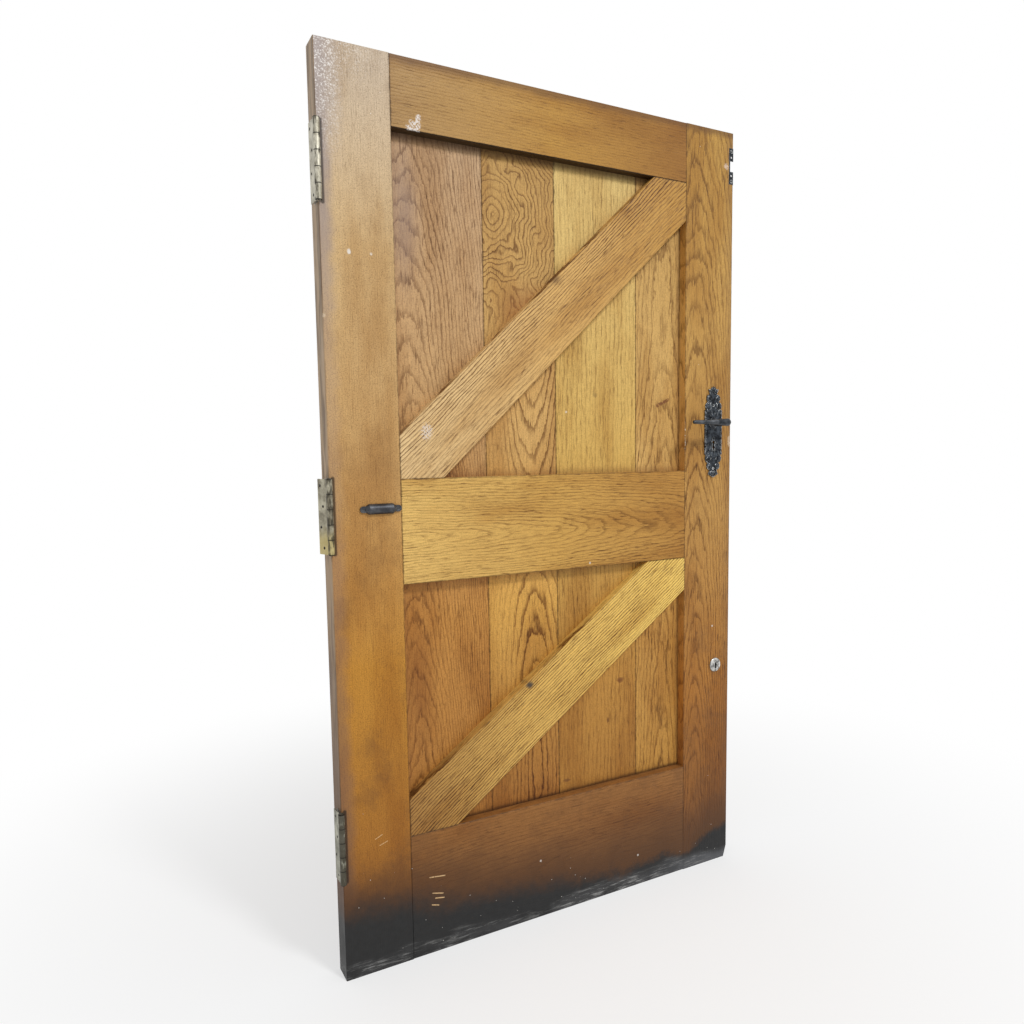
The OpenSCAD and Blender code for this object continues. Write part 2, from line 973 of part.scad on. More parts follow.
// Lever on the front face: a lozenge-shaped boss, a neck towards the viewer and a grip along -X
module lever() {
    steps = 8;
    grip_l = lever_l - lever_tip_r;
    difference() {
        translate([lock_x, 0, spindle_z]) {
            translate([0, front_y + cut, 0])
                rotate([90, 0, 0])
                    cylinder(r = lever_neck_r, h = lever_reach + cut);
            translate([0, plate_y - play, 0])
                rotate([90, 0, 0])
                    boss();
            translate([0, front_y - lever_reach, 0]) {
                sphere(lever_root_r);
                rotate([0, -90, 0])
                    rotate_extrude()
                        polygon(concat(
                            [[0, 0]],
                            [for (i = [0 : steps]) [grip_r(i / steps), grip_l * i / steps]],
                            [[0, grip_l]]
                        ));
                translate([-grip_l, 0, 0])
                    sphere(lever_tip_r);
            }
        }
        spindle();
    }
}

// Blunt pyramid on a lozenge, its foot at the origin
module boss() {
    linear_extrude(boss_out, scale = boss_taper)
        polygon([[-boss_w / 2, 0], [0, -boss_h / 2], [boss_w / 2, 0], [0, boss_h / 2]]);
}

// Dome on a flat foot at the origin, with an upright rim and a quarter ellipse as its profile
module dome(r, rim, h) {
    rotate_extrude()
        polygon(concat(
            [[0, 0], [r, 0]],
            [for (a = [0 : 15 : 90]) [r * cos(a), rim + (h - rim) * sin(a)]]
        ));
}

module front_lever() {
    color(iron)
        lever();
}

module back_lever() {
    color(iron)
        on_back()
            lever();
}

module spindle() {
    color(steel)
        translate([lock_x, 0, spindle_z])
            cube([spindle_w, leaf_t + 2 * (plate_t + spindle_end), spindle_w], center = true);
}

// Mortise lock

module follower() {
    hub_t = cavity_t - 2 * play;
    color(brass)
        difference() {
            translate([lock_x, 0, spindle_z]) {
                rotate([90, 0, 0]) {
                    cylinder(r = follower_r, h = hub_t, center = true);
                    cylinder(r = journal_r - running, h = case_t, center = true);
                }
                translate([-arm_w / 2, -tail_t / 2, 0])
                    cube([arm_w, tail_t, arm_r]);
            }
            spindle();
        }
}

// Bore for the follower and key way, through both sides of the case
module case_bores() {
    translate([lock_x, 0, spindle_z])
        rotate([90, 0, 0])
            cylinder(r = journal_r, h = case_t + 2 * cut, center = true);
    sheet(case_t / 2 + cut, case_t + 2 * cut)
        translate([lock_x, key_z])
            keyhole(key_r + key_way, key_w + 2 * key_way, key_slot + key_way);
}

// Slots that the latch and the dead bolt pass through
module bolt_slots() {
    slot_t = bolt_t + 2 * play;
    slot_l = forend_t + case_wall + 2 * cut;
    slot_x = edge_x - forend_t - case_wall - cut;
    translate([slot_x, -slot_t / 2, spindle_z + latch_low - play])
        cube([slot_l, slot_t, latch_high - latch_low + 2 * play]);
    translate([slot_x, -slot_t / 2, dead_bolt_low - play])
        cube([slot_l, slot_t, dead_bolt_h + 2 * play]);
}

module lock_case() {
    color(steel)
        difference() {
            union() {
                difference() {
                    translate([case_x, -cavity_t / 2, case_low])
                        cube([case_l, case_t - case_wall, case_h]);
                    translate([case_x + case_wall, -cavity_t / 2 - cut, case_low + case_wall])
                        cube([case_l - 2 * case_wall, cavity_t + cut, case_h - 2 * case_wall]);
                }
                translate([stump_x, 0, stump_z])
                    rotate([90, 0, 0])
                        cylinder(r = stump_r, h = cavity_t, center = true);
            }
            case_bores();
            bolt_slots();
        }
}

module lock_cover() {
    color(steel)
        difference() {
            translate([case_x, -case_t / 2, case_low])
                cube([case_l, case_wall, case_h]);
            case_bores();
        }
}

module forend(low, h) {
    translate([edge_x - forend_t, -forend_w / 2, low - forend_end])
        cube([forend_t, forend_w, h + 2 * forend_end]);
}

module lock_forend() {
    color(brass)
        difference() {
            forend(case_low, case_h);
            bolt_slots();
            forend_screw_places()
                screw_hole(forend_screw_r, forend_screw_l);
        }
}

module forend_screw_places() {
    for (low_high = [
        [case_low, case_low + case_h],
        [low_case_low, low_case_low + low_case_h]
    ])
        for (z = [low_high[0] - forend_end / 2, low_high[1] + forend_end / 2])
            translate([edge_x, 0, z])
                into_lock_edge()
                    children();
}

module forend_screws() {
    color(brass)
        forend_screw_places()
            screw(forend_screw_r, forend_screw_l);
}

// Bevelled head, a tail over the follower and a lug in front of the follower's arm
module latch_bolt() {
    head_x = edge_x + latch_out - latch_head_l;
    color(brass) {
        translate([0, 0, spindle_z + latch_low])
            linear_extrude(latch_high - latch_low)
                polygon([
                    [head_x, -bolt_t / 2], [edge_x + latch_out, -bolt_t / 2],
                    [edge_x + latch_out, latch_lip - bolt_t / 2],
                    [edge_x + latch_out - latch_bevel, bolt_t / 2], [head_x, bolt_t / 2]
                ]);
        translate([lug_x, -tail_t / 2, spindle_z + bar_low])
            cube([head_x - lug_x + root, tail_t, bar_h]);
        translate([lug_x, -tail_t / 2, spindle_z + lug_low])
            cube([lug_w, tail_t, latch_high - lug_low]);
    }
}

// Coil between the rear wall of the case and the latch's lug
module latch_spring() {
    spring_l = lug_x - spring_x;
    pitch = spring_l / spring_turns;
    color(steel)
        translate([spring_x, 0, spring_z])
            rotate([0, 90, 0])
                linear_extrude(
                    spring_l, twist = -360 * spring_turns, slices = 16 * spring_turns, $fn = 12
                )
                    polygon([for (a = [0 : 30 : 330]) wire_point(a, pitch)]);
}

// Point of the wire's round section, as a plane square to the coil's axis cuts it
function wire_point(a, pitch) =
    let (
        r = spring_r + spring_wire_r * cos(a),
        turn = 360 * spring_wire_r * sin(a) / pitch
    )
    [r * cos(turn), r * sin(turn)];

// Head, and a thinner tail with a guide slot and a notch for the key
module dead_bolt() {
    tip_x = edge_x - dead_inset;
    tail_x = tip_x - dead_tail_l;
    slot_h = 2 * (stump_r + play);
    color(brass)
        difference() {
            union() {
                translate([tip_x - dead_head_l, -bolt_t / 2, dead_bolt_low])
                    cube([dead_head_l, bolt_t, dead_bolt_h]);
                translate([tail_x, -dead_tail_t / 2, dead_bolt_low])
                    cube([dead_tail_l - dead_head_l + root, dead_tail_t, dead_bolt_h]);
            }
            translate([stump_x - bolt_throw, -bolt_t, stump_z - slot_h / 2])
                cube([bolt_throw, 2 * bolt_t, slot_h]);
            for (x = [stump_x - bolt_throw, stump_x])
                translate([x, 0, stump_z])
                    rotate([90, 0, 0])
                        cylinder(d = slot_h, h = 2 * bolt_t, center = true);
            translate([lock_x - talon_w / 2, -bolt_t, dead_bolt_low - cut])
                cube([talon_w, 2 * bolt_t, talon_h + cut]);
        }
}

// Lower lock

module low_bolt_slot() {
    slot_t = low_cavity_t;
    translate([edge_x - forend_t - case_wall - cut, -slot_t / 2, low_bolt_low - play])
        cube([forend_t + case_wall + 2 * cut, slot_t, low_bolt_h + 2 * play]);
}

module low_lock_case() {
    color(steel)
        difference() {
            translate([low_case_x, -low_case_t / 2, low_case_low])
                cube([low_case_l, low_case_t, low_case_h]);
            translate([low_case_x + case_wall, -low_cavity_t / 2, low_case_low + case_wall])
                cube([low_case_l - 2 * case_wall, low_cavity_t, low_case_h - 2 * case_wall]);
            low_bolt_slot();
            sheet(low_case_t, 2 * low_case_t)
                translate([low_x, low_key_z])
                    keyhole(low_key_r + key_way, key_w + 2 * key_way, low_key_slot + key_way);
        }
}

module low_lock_forend() {
    color(brass)
        difference() {
            forend(low_case_low, low_case_h);
            low_bolt_slot();
            forend_screw_places()
                screw_hole(forend_screw_r, forend_screw_l);
        }
}

module low_lock_bolt() {
    bolt_w = low_cavity_t - 2 * play;
    tip_x = edge_x - dead_inset;
    color(brass)
        difference() {
            translate([tip_x - low_bolt_l, -bolt_w / 2, low_bolt_low])
                cube([low_bolt_l, bolt_w, low_bolt_h]);
            translate([low_x - talon_w / 2, -bolt_w, low_bolt_low - cut])
                cube([talon_w, 2 * bolt_w, talon_h + cut]);
        }
}

// Round key plate with a domed face and a collar pressed into the wood
module rosette() {
    difference() {
        translate([low_x, front_y, low_key_z])
            rotate([90, 0, 0]) {
                dome(rosette_r, rosette_rim, rosette_t);
                translate([0, 0, -rosette_seat_l])
                    cylinder(r = rosette_seat_r, h = rosette_seat_l + cut);
            }
        sheet(front_y + rosette_seat_l + cut, rosette_t + rosette_seat_l + 2 * cut)
            translate([low_x, low_key_z])
                keyhole(low_key_r, key_w, low_key_slot);
    }
}

module front_rosette() {
    color(chrome)
        rosette();
}

module back_rosette() {
    color(chrome)
        on_back()
            rosette();
}

// Keep plate at the upper end of the lock stile

module keep_plate() {
    color(gunmetal)
        difference() {
            translate([keep_x, front_y, keep_z - keep_h / 2])
                cube([keep_w, keep_t, keep_h]);
            sheet(front_y + keep_t + cut, keep_t + 2 * cut) {
                translate([edge_x - keep_slot_w, keep_z - keep_slot_h / 2])
                    square([keep_slot_w + cut, keep_slot_h]);
                for (side = [-1, 1])
                    translate([keep_hole_x, keep_z + side * keep_hole_z])
                        circle(keep_hole_r);
            }
            keep_screw_places()
                screw_hole(keep_screw_r, keep_screw_l);
        }
}

module keep_screw_places() {
    for (side = [-1, 1])
        translate([keep_hole_x, front_y, keep_z + side * keep_screw_z])
            into_front()
                children();
}

module keep_screws() {
    color(chrome)
        keep_screw_places()
            screw(keep_screw_r, keep_screw_l);
}

// Stop on the hinge stile

module stop_block() {
    tab_r = stop_tab_w / 2;
    color(gunmetal)
        difference() {
            union() {
                sheet(front_y, stop_tab_t)
                    translate([stop_x, stop_z]) {
                        square([2 * stop_screw_x, stop_tab_w], center = true);
                        for (side = [-1, 1])
                            translate([side * stop_screw_x, 0])
                                circle(tab_r);
                    }
                intersection() {
                    translate([stop_x, front_y, stop_z])
                        rotate([0, 90, 0])
                            stop_body();
                    translate([stop_x - stop_l / 2, front_y - 2 * stop_r, stop_z - 2 * stop_r])
                        cube([stop_l, 2 * stop_r, 4 * stop_r]);
                }
            }
            stop_screw_places()
                screw_hole(stop_screw_r, stop_screw_l);
        }
}

// Round bar along Z that narrows towards both ends
module stop_body() {
    half = stop_body_l / 2;
    rotate_extrude()
        polygon([
            [0, -half], [stop_end_r, -half], [stop_r, stop_shoulder - half],
            [stop_r, half - stop_shoulder], [stop_end_r, half], [0, half]
        ]);
}

module stop_screw_places() {
    for (side = [-1, 1])
        translate([stop_x + side * stop_screw_x, front_y - stop_tab_t, stop_z])
            into_front()
                children();
}

module stop_screws() {
    color(gunmetal)
        stop_screw_places()
            screw(stop_screw_r, stop_screw_l);
}

hinge_stile();
lock_stile();
top_rail();
middle_rail();
bottom_rail();
upper_brace();
lower_brace();
board_1();
board_2();
board_3();
board_4();
board_nails();
top_hinge_door_leaf();
top_hinge_frame_leaf();
top_hinge_pin();
middle_hinge_door_leaf();
middle_hinge_frame_leaf();
middle_hinge_pin();
bottom_hinge_door_leaf();
bottom_hinge_frame_leaf();
bottom_hinge_pin();
hinge_screws();
front_plate();
back_plate();
plate_screws();
front_lever();
back_lever();
spindle();
follower();
lock_case();
lock_cover();
lock_forend();
latch_bolt();
latch_spring();
dead_bolt();
low_lock_case();
low_lock_forend();
low_lock_bolt();
forend_screws();
front_rosette();
back_rosette();
keep_plate();
keep_screws();
stop_block();
stop_screws();
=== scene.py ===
"""Looks of a weathered oak door leaf: wood and metal finishes, plate relief, dark plugs as painted shade in
the hinge holes, light, camera.
"""
import json
from collections import namedtuple
from math import atan2, cos, radians, sin

import bmesh
import bpy
from mathutils import Matrix, Vector

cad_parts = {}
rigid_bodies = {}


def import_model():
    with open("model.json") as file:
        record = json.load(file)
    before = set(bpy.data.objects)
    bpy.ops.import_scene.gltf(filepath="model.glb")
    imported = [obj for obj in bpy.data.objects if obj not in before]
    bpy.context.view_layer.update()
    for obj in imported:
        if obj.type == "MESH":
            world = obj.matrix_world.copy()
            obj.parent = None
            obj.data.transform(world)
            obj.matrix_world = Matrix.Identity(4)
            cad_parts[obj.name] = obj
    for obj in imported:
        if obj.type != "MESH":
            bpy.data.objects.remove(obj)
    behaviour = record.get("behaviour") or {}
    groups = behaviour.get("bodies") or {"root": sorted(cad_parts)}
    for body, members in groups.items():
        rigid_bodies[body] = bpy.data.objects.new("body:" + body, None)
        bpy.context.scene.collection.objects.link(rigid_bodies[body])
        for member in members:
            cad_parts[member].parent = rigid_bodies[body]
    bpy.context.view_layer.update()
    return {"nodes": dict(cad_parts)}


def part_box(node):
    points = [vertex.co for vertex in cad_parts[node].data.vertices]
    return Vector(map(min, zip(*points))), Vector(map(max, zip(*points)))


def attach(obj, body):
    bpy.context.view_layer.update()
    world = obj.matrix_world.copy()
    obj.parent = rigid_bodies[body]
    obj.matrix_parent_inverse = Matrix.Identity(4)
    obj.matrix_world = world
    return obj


for leftover in list(bpy.data.objects):
    bpy.data.objects.remove(leftover)
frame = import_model()
nodes = frame["nodes"]


def centre(name):
    """Middle of a node's box."""
    low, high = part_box(name)
    return (low + high) / 2


# Camera, as the photograph was taken
CAMERA_PLACE = Vector((-1.0128, -1.6742, 1.1636))
CAMERA_AZIMUTH = radians(28.29)
CAMERA_ELEVATION = radians(-5.38)
CAMERA_ROLL = radians(-0.87)
CAMERA_LENS_MM = 27.93
CAMERA_SENSOR_MM = 36.0
CAMERA_SHIFT_Y = 0.0162

# Light and floor; the floor's own shade has the share FLOOR_MATT near the door and fades to none
WHITE = (1, 1, 1, 1)
WORLD_LIGHT = 0.58
KEY_LIGHT_PLACE = Vector((1.2, -4.4, 5.6))
KEY_LIGHT_AIM = Vector((0.0, 0.0, 1.0))
KEY_LIGHT_SIZE = 1.2
KEY_LIGHT_POWER = 205.0
FLOOR_RADIUS = 9.0
FLOOR_SIDES = 96
FLOOR_COLOUR = (0.9, 0.9, 0.9, 1)
FLOOR_MATT = 0.45
FLOOR_FADE_START = 0.5
FLOOR_FADE_END = 2.2

# Directions: up and right in the plane of the door, and into it
UP = Vector((0, 0, 1))
RIGHT = Vector((1, 0, 0))
DEPTH = Vector((0, 1, 0))

# Lines of the door, from the CAD pieces
FRONT_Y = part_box("hinge_stile")[0].y
BACK_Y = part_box("hinge_stile")[1].y
HINGE_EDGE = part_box("hinge_stile")[0].x
LOCK_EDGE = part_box("lock_stile")[1].x
INNER_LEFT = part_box("hinge_stile")[1].x
INNER_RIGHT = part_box("lock_stile")[0].x
TOP_RAIL_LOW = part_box("top_rail")[0].z
MIDDLE_LOW, MIDDLE_HIGH = (corner.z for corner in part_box("middle_rail"))
BOTTOM_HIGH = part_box("bottom_rail")[1].z
LEAF_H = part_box("hinge_stile")[1].z
KEY_PLATE = centre("front_rosette")

# Heights well off the door, for a piece that has no joint at its lower or upper end
BELOW = -1.0
ABOVE = LEAF_H + 1.0

# Sizes and counts of the fittings, as in the CAD source
PLATE_T = 0.003
BARREL_R = 0.007
KNUCKLES = 5
HINGES = ("top", "middle", "bottom")
HINGE_HOLES = 4
HINGE_HOLE_LOW = 0.014
HINGE_HOLE_STEP = 0.044
HINGE_HOLE_ROWS = (0.0205, 0.0295)
HINGE_HOLE_R = 0.0026
LEAF_OFFSET = 0.0025


def rgb(red, green, blue):
    """Linear colour with alpha from display values of 0 to 255."""
    def linear(value):
        value /= 255
        return value / 12.92 if value <= 0.04045 else ((value + 0.055) / 1.055) ** 2.4
    return (linear(red), linear(green), linear(blue), 1.0)


# Node graphs

# Samples for each look at arrises and corners, share of a stroke's width that is full, and bump
SHADE_SAMPLES = 6
STROKE_CORE = 0.4
BUMP_STRENGTH = 0.8


class Graph:
    """Nodes of a material or world, made by calls that each return an output socket."""

    def __init__(self, owner):
        owner.use_nodes = True
        self.owner = owner
        self.tree = owner.node_tree
        self.tree.nodes.clear()

    def node(self, kind, inputs=(), **settings):
        """One new node, with its inputs by number or name; the only call that returns the node itself."""
        made = self.tree.nodes.new("ShaderNode" + kind)
        for name, value in settings.items():
            setattr(made, name, value)
        pairs = inputs.items() if isinstance(inputs, dict) else enumerate(inputs)
        for key, value in pairs:
            self.feed(made.inputs[key], value)
        return made

    def feed(self, socket, value):
        if isinstance(value, bpy.types.NodeSocket):
            self.tree.links.new(value, socket)
        else:
            socket.default_value = value

    def math(self, operation, *values):
        return self.node("Math", values, operation=operation).outputs[0]

    def fold(self, operation, values):
        """One value from many, joined two by two."""
        total = values[0]
        for value in values[1:]:
            total = self.math(operation, total, value)
        return total

    def add(self, *values):
        return self.fold("ADD", values)

    def product(self, *values):
        return self.fold("MULTIPLY", values)

    def least(self, *values):
        return self.fold("MINIMUM", values)

    def most(self, *values):
        return self.fold("MAXIMUM", values)

    def between(self, value, low, high):
        """Low where a value is 0, high where it is 1."""
        return self.add(low, self.product(value, high - low))

    def away(self, value, place):
        """Distance of a value from a place."""
        return self.math("ABSOLUTE", self.add(value, -place))

    def step(self, value, start, end):
        """0 at start and before, 1 at end and after, smooth between; start may be above end."""
        inputs = {"Value": value, "From Min": start, "From Max": end}
        return self.node("MapRange", inputs, interpolation_type="SMOOTHSTEP").outputs["Result"]

    def vector(self, x, y, z):
        return self.node("CombineXYZ", [x, y, z]).outputs[0]

    def dot(self, vector, direction):
        return self.node("VectorMath", [vector, direction], operation="DOT_PRODUCT").outputs["Value"]

    def length(self, vector):
        return self.node("VectorMath", [vector], operation="LENGTH").outputs["Value"]

    def offset(self, vector, origin):
        return self.node("VectorMath", [vector, origin], operation="SUBTRACT").outputs[0]

    def noise(self, vector, scale=1.0, detail=2.0, roughness=0.5, distortion=0.0):
        inputs = {
            "Vector": vector, "Scale": scale, "Detail": detail,
            "Roughness": roughness, "Distortion": distortion,
        }
        return self.node("TexNoise", inputs).outputs[0]

    def cells(self, vector, scale):
        """Distance to the nearest point of a scatter, and a random number for that point."""
        made = self.node("TexVoronoi", {"Vector": vector, "Scale": scale})
        channels = self.node("SeparateColor", [made.outputs["Color"]])
        return made.outputs["Distance"], channels.outputs[0]

    def ramp(self, value, stops):
        """Colour along a value, from pairs of position and colour."""
        first, last = stops[0][0], stops[-1][0]
        share = self.node("MapRange", {"Value": value, "From Min": first, "From Max": last})
        made = self.node("ValToRGB", [share.outputs["Result"]])
        elements = made.color_ramp.elements
        for index, (position, colour) in enumerate(stops):
            place = (position - first) / (last - first)
            if index < 2:
                elements[index].position = place
            else:
                elements.new(place)
            elements[index].color = colour
        return made.outputs["Color"]

    def mix(self, factor, under, over, blend="MIX"):
        made = self.node("Mix", data_type="RGBA", blend_type=blend)
        for key, value in ((0, factor), (6, under), (7, over)):
            self.feed(made.inputs[key], value)
        return made.outputs[2]

    def coat(self, under, over, *masks):
        """Colour laid over another as far as all the masks let it."""
        return self.mix(self.product(*masks), under, over)

    def tint(self, under, tint, *masks):
        """Colour multiplied by a tint as far as all the masks let it."""
        return self.mix(self.product(*masks), under, tint, "MULTIPLY")

    def bump(self, height, distance, strength=BUMP_STRENGTH):
        inputs = {"Strength": strength, "Distance": distance, "Height": height}
        return self.node("Bump", inputs).outputs[0]


class Painting(Graph):
    """Graph of a new material that is painted by where a point lies in the door's frame."""

    def __init__(self, name):
        super().__init__(bpy.data.materials.new(name))
        self.point = self.node("TexCoord").outputs["Object"]
        self.x, self.y, self.z = self.node("SeparateXYZ", [self.point]).outputs

    def scaled(self, x, y, z):
        """The point with each coordinate multiplied, for noise that is finer one way than another."""
        return self.vector(self.product(self.x, x), self.product(self.y, y), self.product(self.z, z))

    def wavering(self, value, scale, detail, amount):
        """A value pushed about by noise."""
        return self.add(value, self.product(self.noise(self.point, scale, detail), amount))

    def facing(self, direction):
        """1 on faces that look in a direction, 0 on the others."""
        normal = self.node("NewGeometry").outputs["True Normal"]
        in_object = self.node(
            "VectorTransform", [normal], vector_type="NORMAL", convert_from="WORLD", convert_to="OBJECT"
        )
        return self.step(self.dot(in_object.outputs[0], direction), 0.4, 0.6)

    def edges(self, radius):
        """1 on arrises and 0 on flat ground."""
        rounded = self.node("Bevel", {"Radius": radius}, samples=SHADE_SAMPLES).outputs[0]
        plain = self.node("NewGeometry").outputs["Normal"]
        return self.step(self.dot(rounded, plain), 0.995, 0.80)

    def crevices(self, distance):
        """1 deep in corners and gaps, 0 on open ground."""
        shade = self.node("AmbientOcclusion", {"Distance": distance}, samples=SHADE_SAMPLES)
        return self.step(shade.outputs["AO"], 0.85, 0.35)

    def stroke(self, start, end, width):
        """1 along a straight scratch between two places in the plane of the door."""
        start = Vector((start[0], 0, start[1]))
        run = Vector((end[0], 0, end[1])) - start
        offset = self.offset(self.vector(self.x, 0.0, self.z), start)
        share = self.product(self.dot(offset, run), 1 / run.length_squared)
        share = self.node("Clamp", [share]).outputs[0]
        along = self.node("VectorMath", {0: run, "Scale": share}, operation="SCALE").outputs[0]
        off = self.node("VectorMath", [offset, along], operation="DISTANCE").outputs["Value"]
        return self.step(off, width, STROKE_CORE * width)

    def spot(self, place, reach_x, reach_z, core=0.2):
        """1 in the core of an oval patch in the plane of the door, 0 outside."""
        wide = self.product(self.add(self.x, -place[0]), 1 / reach_x)
        high = self.product(self.add(self.z, -place[1]), 1 / reach_z)
        return self.step(self.length(self.vector(wide, 0.0, high)), 1.0, core)

    def surface(self, colour, roughness, normal, **constants):
        """Closes the graph with a principled shader; constants are set on its own sockets."""
        inputs = {"Base Color": colour, "Roughness": roughness, "Normal": normal}
        inputs.update(constants)
        shader = self.node("BsdfPrincipled", inputs)
        self.node("OutputMaterial", {"Surface": shader.outputs[0]})
        return self.owner


def dress(names, material):
    """Gives some nodes a material."""
    for name in names:
        nodes[name].material_slots[0].material = material


# Oak

# How the year rings of a piece run. Lengths are in metres.
#   ring   distance between rings
#   pith   place of the log's heart, across the piece and along it, from the piece's middle
#   slope  how fast rings narrow along the piece: 0 gives straight lines, more gives arches
#   swirl  how far slow bends push the rings, in rings
#   ripple how far quick bends push them, in rings
#   line   strength of the dark ring lines
#   pores  strength of the short dark pores
#   fibre  strength of the fine fibres between the rings
#   fleck  strength of the fine dark and pale specks all over
#   relief depth of the grain
#   seed   number that gives the piece a noise of its own
#   fold   height at which the arches turn round, if they do
#   fade   places across the piece between which the ring lines fade, except round a knot
#   knot   knot that the rings run round: x, z, flatness, and the heights between which they begin to
Figure = namedtuple(
    "Figure", "ring pith slope swirl ripple line pores fibre fleck relief seed fold fade knot",
    defaults=(None, None, None),
)

# Tints that multiply a colour, and colours that cover it
LINE_TINT = (0.27, 0.18, 0.11, 1)
PALE_TINT = (1.30, 1.27, 1.18, 1)
BLOTCH_TINT = (0.78, 0.70, 0.60, 1)
# Painted light on the side of the lock stile that faces the boards
INNER_SIDE_LIGHT = (1.35, 1.35, 1.4, 1)
DIRT = rgb(52, 36, 24)
# Painted shade: near-black for shadows, corners, gaps and holes on wood and metal
PAINTED_SHADE = rgb(34, 29, 24)
SPECK = rgb(232, 228, 220)
SCRATCH = rgb(214, 178, 130)
SPLASH = rgb(228, 222, 217)
SOOT = rgb(34, 34, 34)
SOOT_PALE = rgb(47, 47, 47)
SOOT_BROWN = rgb(88, 58, 34)
SOOT_RUBBED = rgb(92, 92, 93)
SOOT_CORNER = rgb(108, 110, 114)
SCUFF = rgb(164, 164, 162)
# Painted shade: in the corners along the frame, under the top rail, above the bottom rail, and on the under
# side of a rail
CORNER_SHADE_COLOUR = rgb(96, 66, 48)
UNDER_RAIL_SHADOW = rgb(56, 36, 22)
BOARD_FOOT_SHADE = rgb(62, 38, 22)
RAIL_UNDERSIDE_SHADE = rgb(30, 19, 11)
TOP_DIRT = rgb(92, 62, 38)
CLOUD_DIRT = rgb(104, 68, 38)
GREY_BAND = rgb(148, 136, 136)
BROWN_BAND = rgb(92, 62, 40)
FROST_GROUND = rgb(176, 166, 162)
FROST_DARK = rgb(132, 116, 104)
FROST_PALE = rgb(236, 232, 226)
HINGE_EDGE_PALE = rgb(183, 156, 124)
HINGE_EDGE_DARK = rgb(118, 96, 72)
HINGE_EDGE_FOOT = rgb(90, 62, 36)
LOCK_SIDE = rgb(112, 84, 62)
LOCK_EDGE_PALE = rgb(152, 118, 80)
LOCK_EDGE_DARK = rgb(98, 66, 38)
KEY_PLATE_SHADE = rgb(58, 36, 20)

# Scales of the grain's noises, across the grain and along it
SLOW_BENDS = (7.0, 2.2)
QUICK_BENDS = (45.0, 13.0)
RING_TREMBLE = (300.0, 60.0)
MOTTLE = (11.0, 3.0)
PATCHES = (14.0, 4.0)
FIBRES = (480.0, 20.0)
PORES = (620.0, 42.0)
FLECKS = (290.0, 27.0)

OAK_ROUGHNESS = 0.38
OAK_SHINE = 0.22
RING_TREMBLE_REACH = 0.2
GRAIN_SHIFT = Vector((1.7, 2.3, 3.1))
EDGE_STREAKS = (60.0, 60.0, 9.0)
SPLASH_WIDTH = 0.009
BARREL_SHADE_OFF = 0.0085
BARREL_SHADE_WIDTH = 0.006

# Height of the black foot in the middle of the door, what is added to it towards each edge,
# and how far brown scorching and pale specks reach above it
SOOT_H = 0.058
SOOT_RISE_LEFT = 0.085
SOOT_RISE_RIGHT = 0.035
SOOT_BROWN_REACH = 0.17
SOOT_SPECK_REACH = 0.16


class Grain:
    """Place in a wooden piece: across and along it from its middle, and in from the door's front."""

    def __init__(self, g, name, along, seed):
        offset = g.offset(g.point, centre(name))
        self.g = g
        self.across = g.dot(offset, Vector((along.z, 0, -along.x)))
        self.depth = g.add(g.y, -FRONT_Y)
        self.along = g.dot(offset, along)
        self.shift = GRAIN_SHIFT * seed

    def noise(self, scales, **settings):
        """Noise with one scale across the grain and another along it."""
        g = self.g
        across, along = scales
        place = g.vector(
            g.add(g.product(self.across, across), self.shift.x),
            g.add(g.product(self.depth, across), self.shift.y),
            g.add(g.product(self.along, along), self.shift.z),
        )
        return g.noise(place, **settings)


def ring_lines(g, grain, figure):
    """1 in the dark early wood of each ring, fading to 0 in the late wood."""
    def sway(scales, detail, reach):
        """Noise that pushes the rings up to a reach either way."""
        return g.between(grain.noise(scales, detail=detail), -reach, reach)

    length = grain.along if figure.fold is None else g.away(g.z, figure.fold)
    aside = g.add(grain.across, -figure.pith[0])
    ahead = g.product(g.add(length, -figure.pith[1]), figure.slope)
    heart = g.length(g.vector(aside, g.product(grain.depth, 0.6), ahead))
    rings = g.product(heart, 1 / figure.ring)
    if figure.knot is not None:
        x, z, flat, start, end = figure.knot
        off_knot = g.length(g.vector(g.add(g.x, -x), 0.0, g.product(g.add(g.z, -z), flat)))
        wobble = g.between(g.noise(g.point, 17.0, detail=1.0), -3.0, 3.0)
        round_knot = g.add(
            g.product(off_knot, 1 / figure.ring), g.product(wobble, g.step(off_knot, 0.01, 0.06))
        )
        taken = g.step(g.z, start, end)
        rings = g.add(g.product(rings, g.between(taken, 1.0, 0.0)), g.product(round_knot, taken))
    phase = g.add(
        rings, sway(SLOW_BENDS, 2.0, figure.swirl), sway(QUICK_BENDS, 3.0, figure.ripple),
        sway(RING_TREMBLE, 1.0, RING_TREMBLE_REACH),
    )
    share = g.math("FRACT", phase)
    early = g.math("POWER", g.step(share, 0.45, 0.0), 1.6)
    number = g.math("FLOOR", g.add(phase, 0.08))
    depth = g.node("TexWhiteNoise", {"W": number}, noise_dimensions="1D").outputs["Value"]
    lines = g.product(g.most(early, g.step(share, 0.92, 1.0)), g.between(depth, 0.55, 1.0))
    if figure.fade is not None:
        full, faded = figure.fade
        kept = g.step(grain.across, faded, full)
        if figure.knot is not None:
            kept = g.most(kept, taken)
        lines = g.product(lines, g.between(kept, 0.35, 1.0))
    return lines


def border(g, face):
    """Distance to the nearest edge of a piece's visible rectangle (x low, x high, z low, z high)."""
    x_low, x_high, z_low, z_high = face
    return g.least(g.away(g.x, x_low), g.away(g.x, x_high), g.away(g.z, z_low), g.away(g.z, z_high))


def specks(g, colour, amount, size=0.0012, scale=70.0):
    """Small pale dots where a random number per dot is below the amount, which may vary."""
    distance, chance = g.cells(g.point, scale)
    near = g.step(distance, size * scale, 0.5 * size * scale)
    chosen = g.math("LESS_THAN", chance, amount)
    return g.coat(colour, SPECK, near, chosen, 0.9)


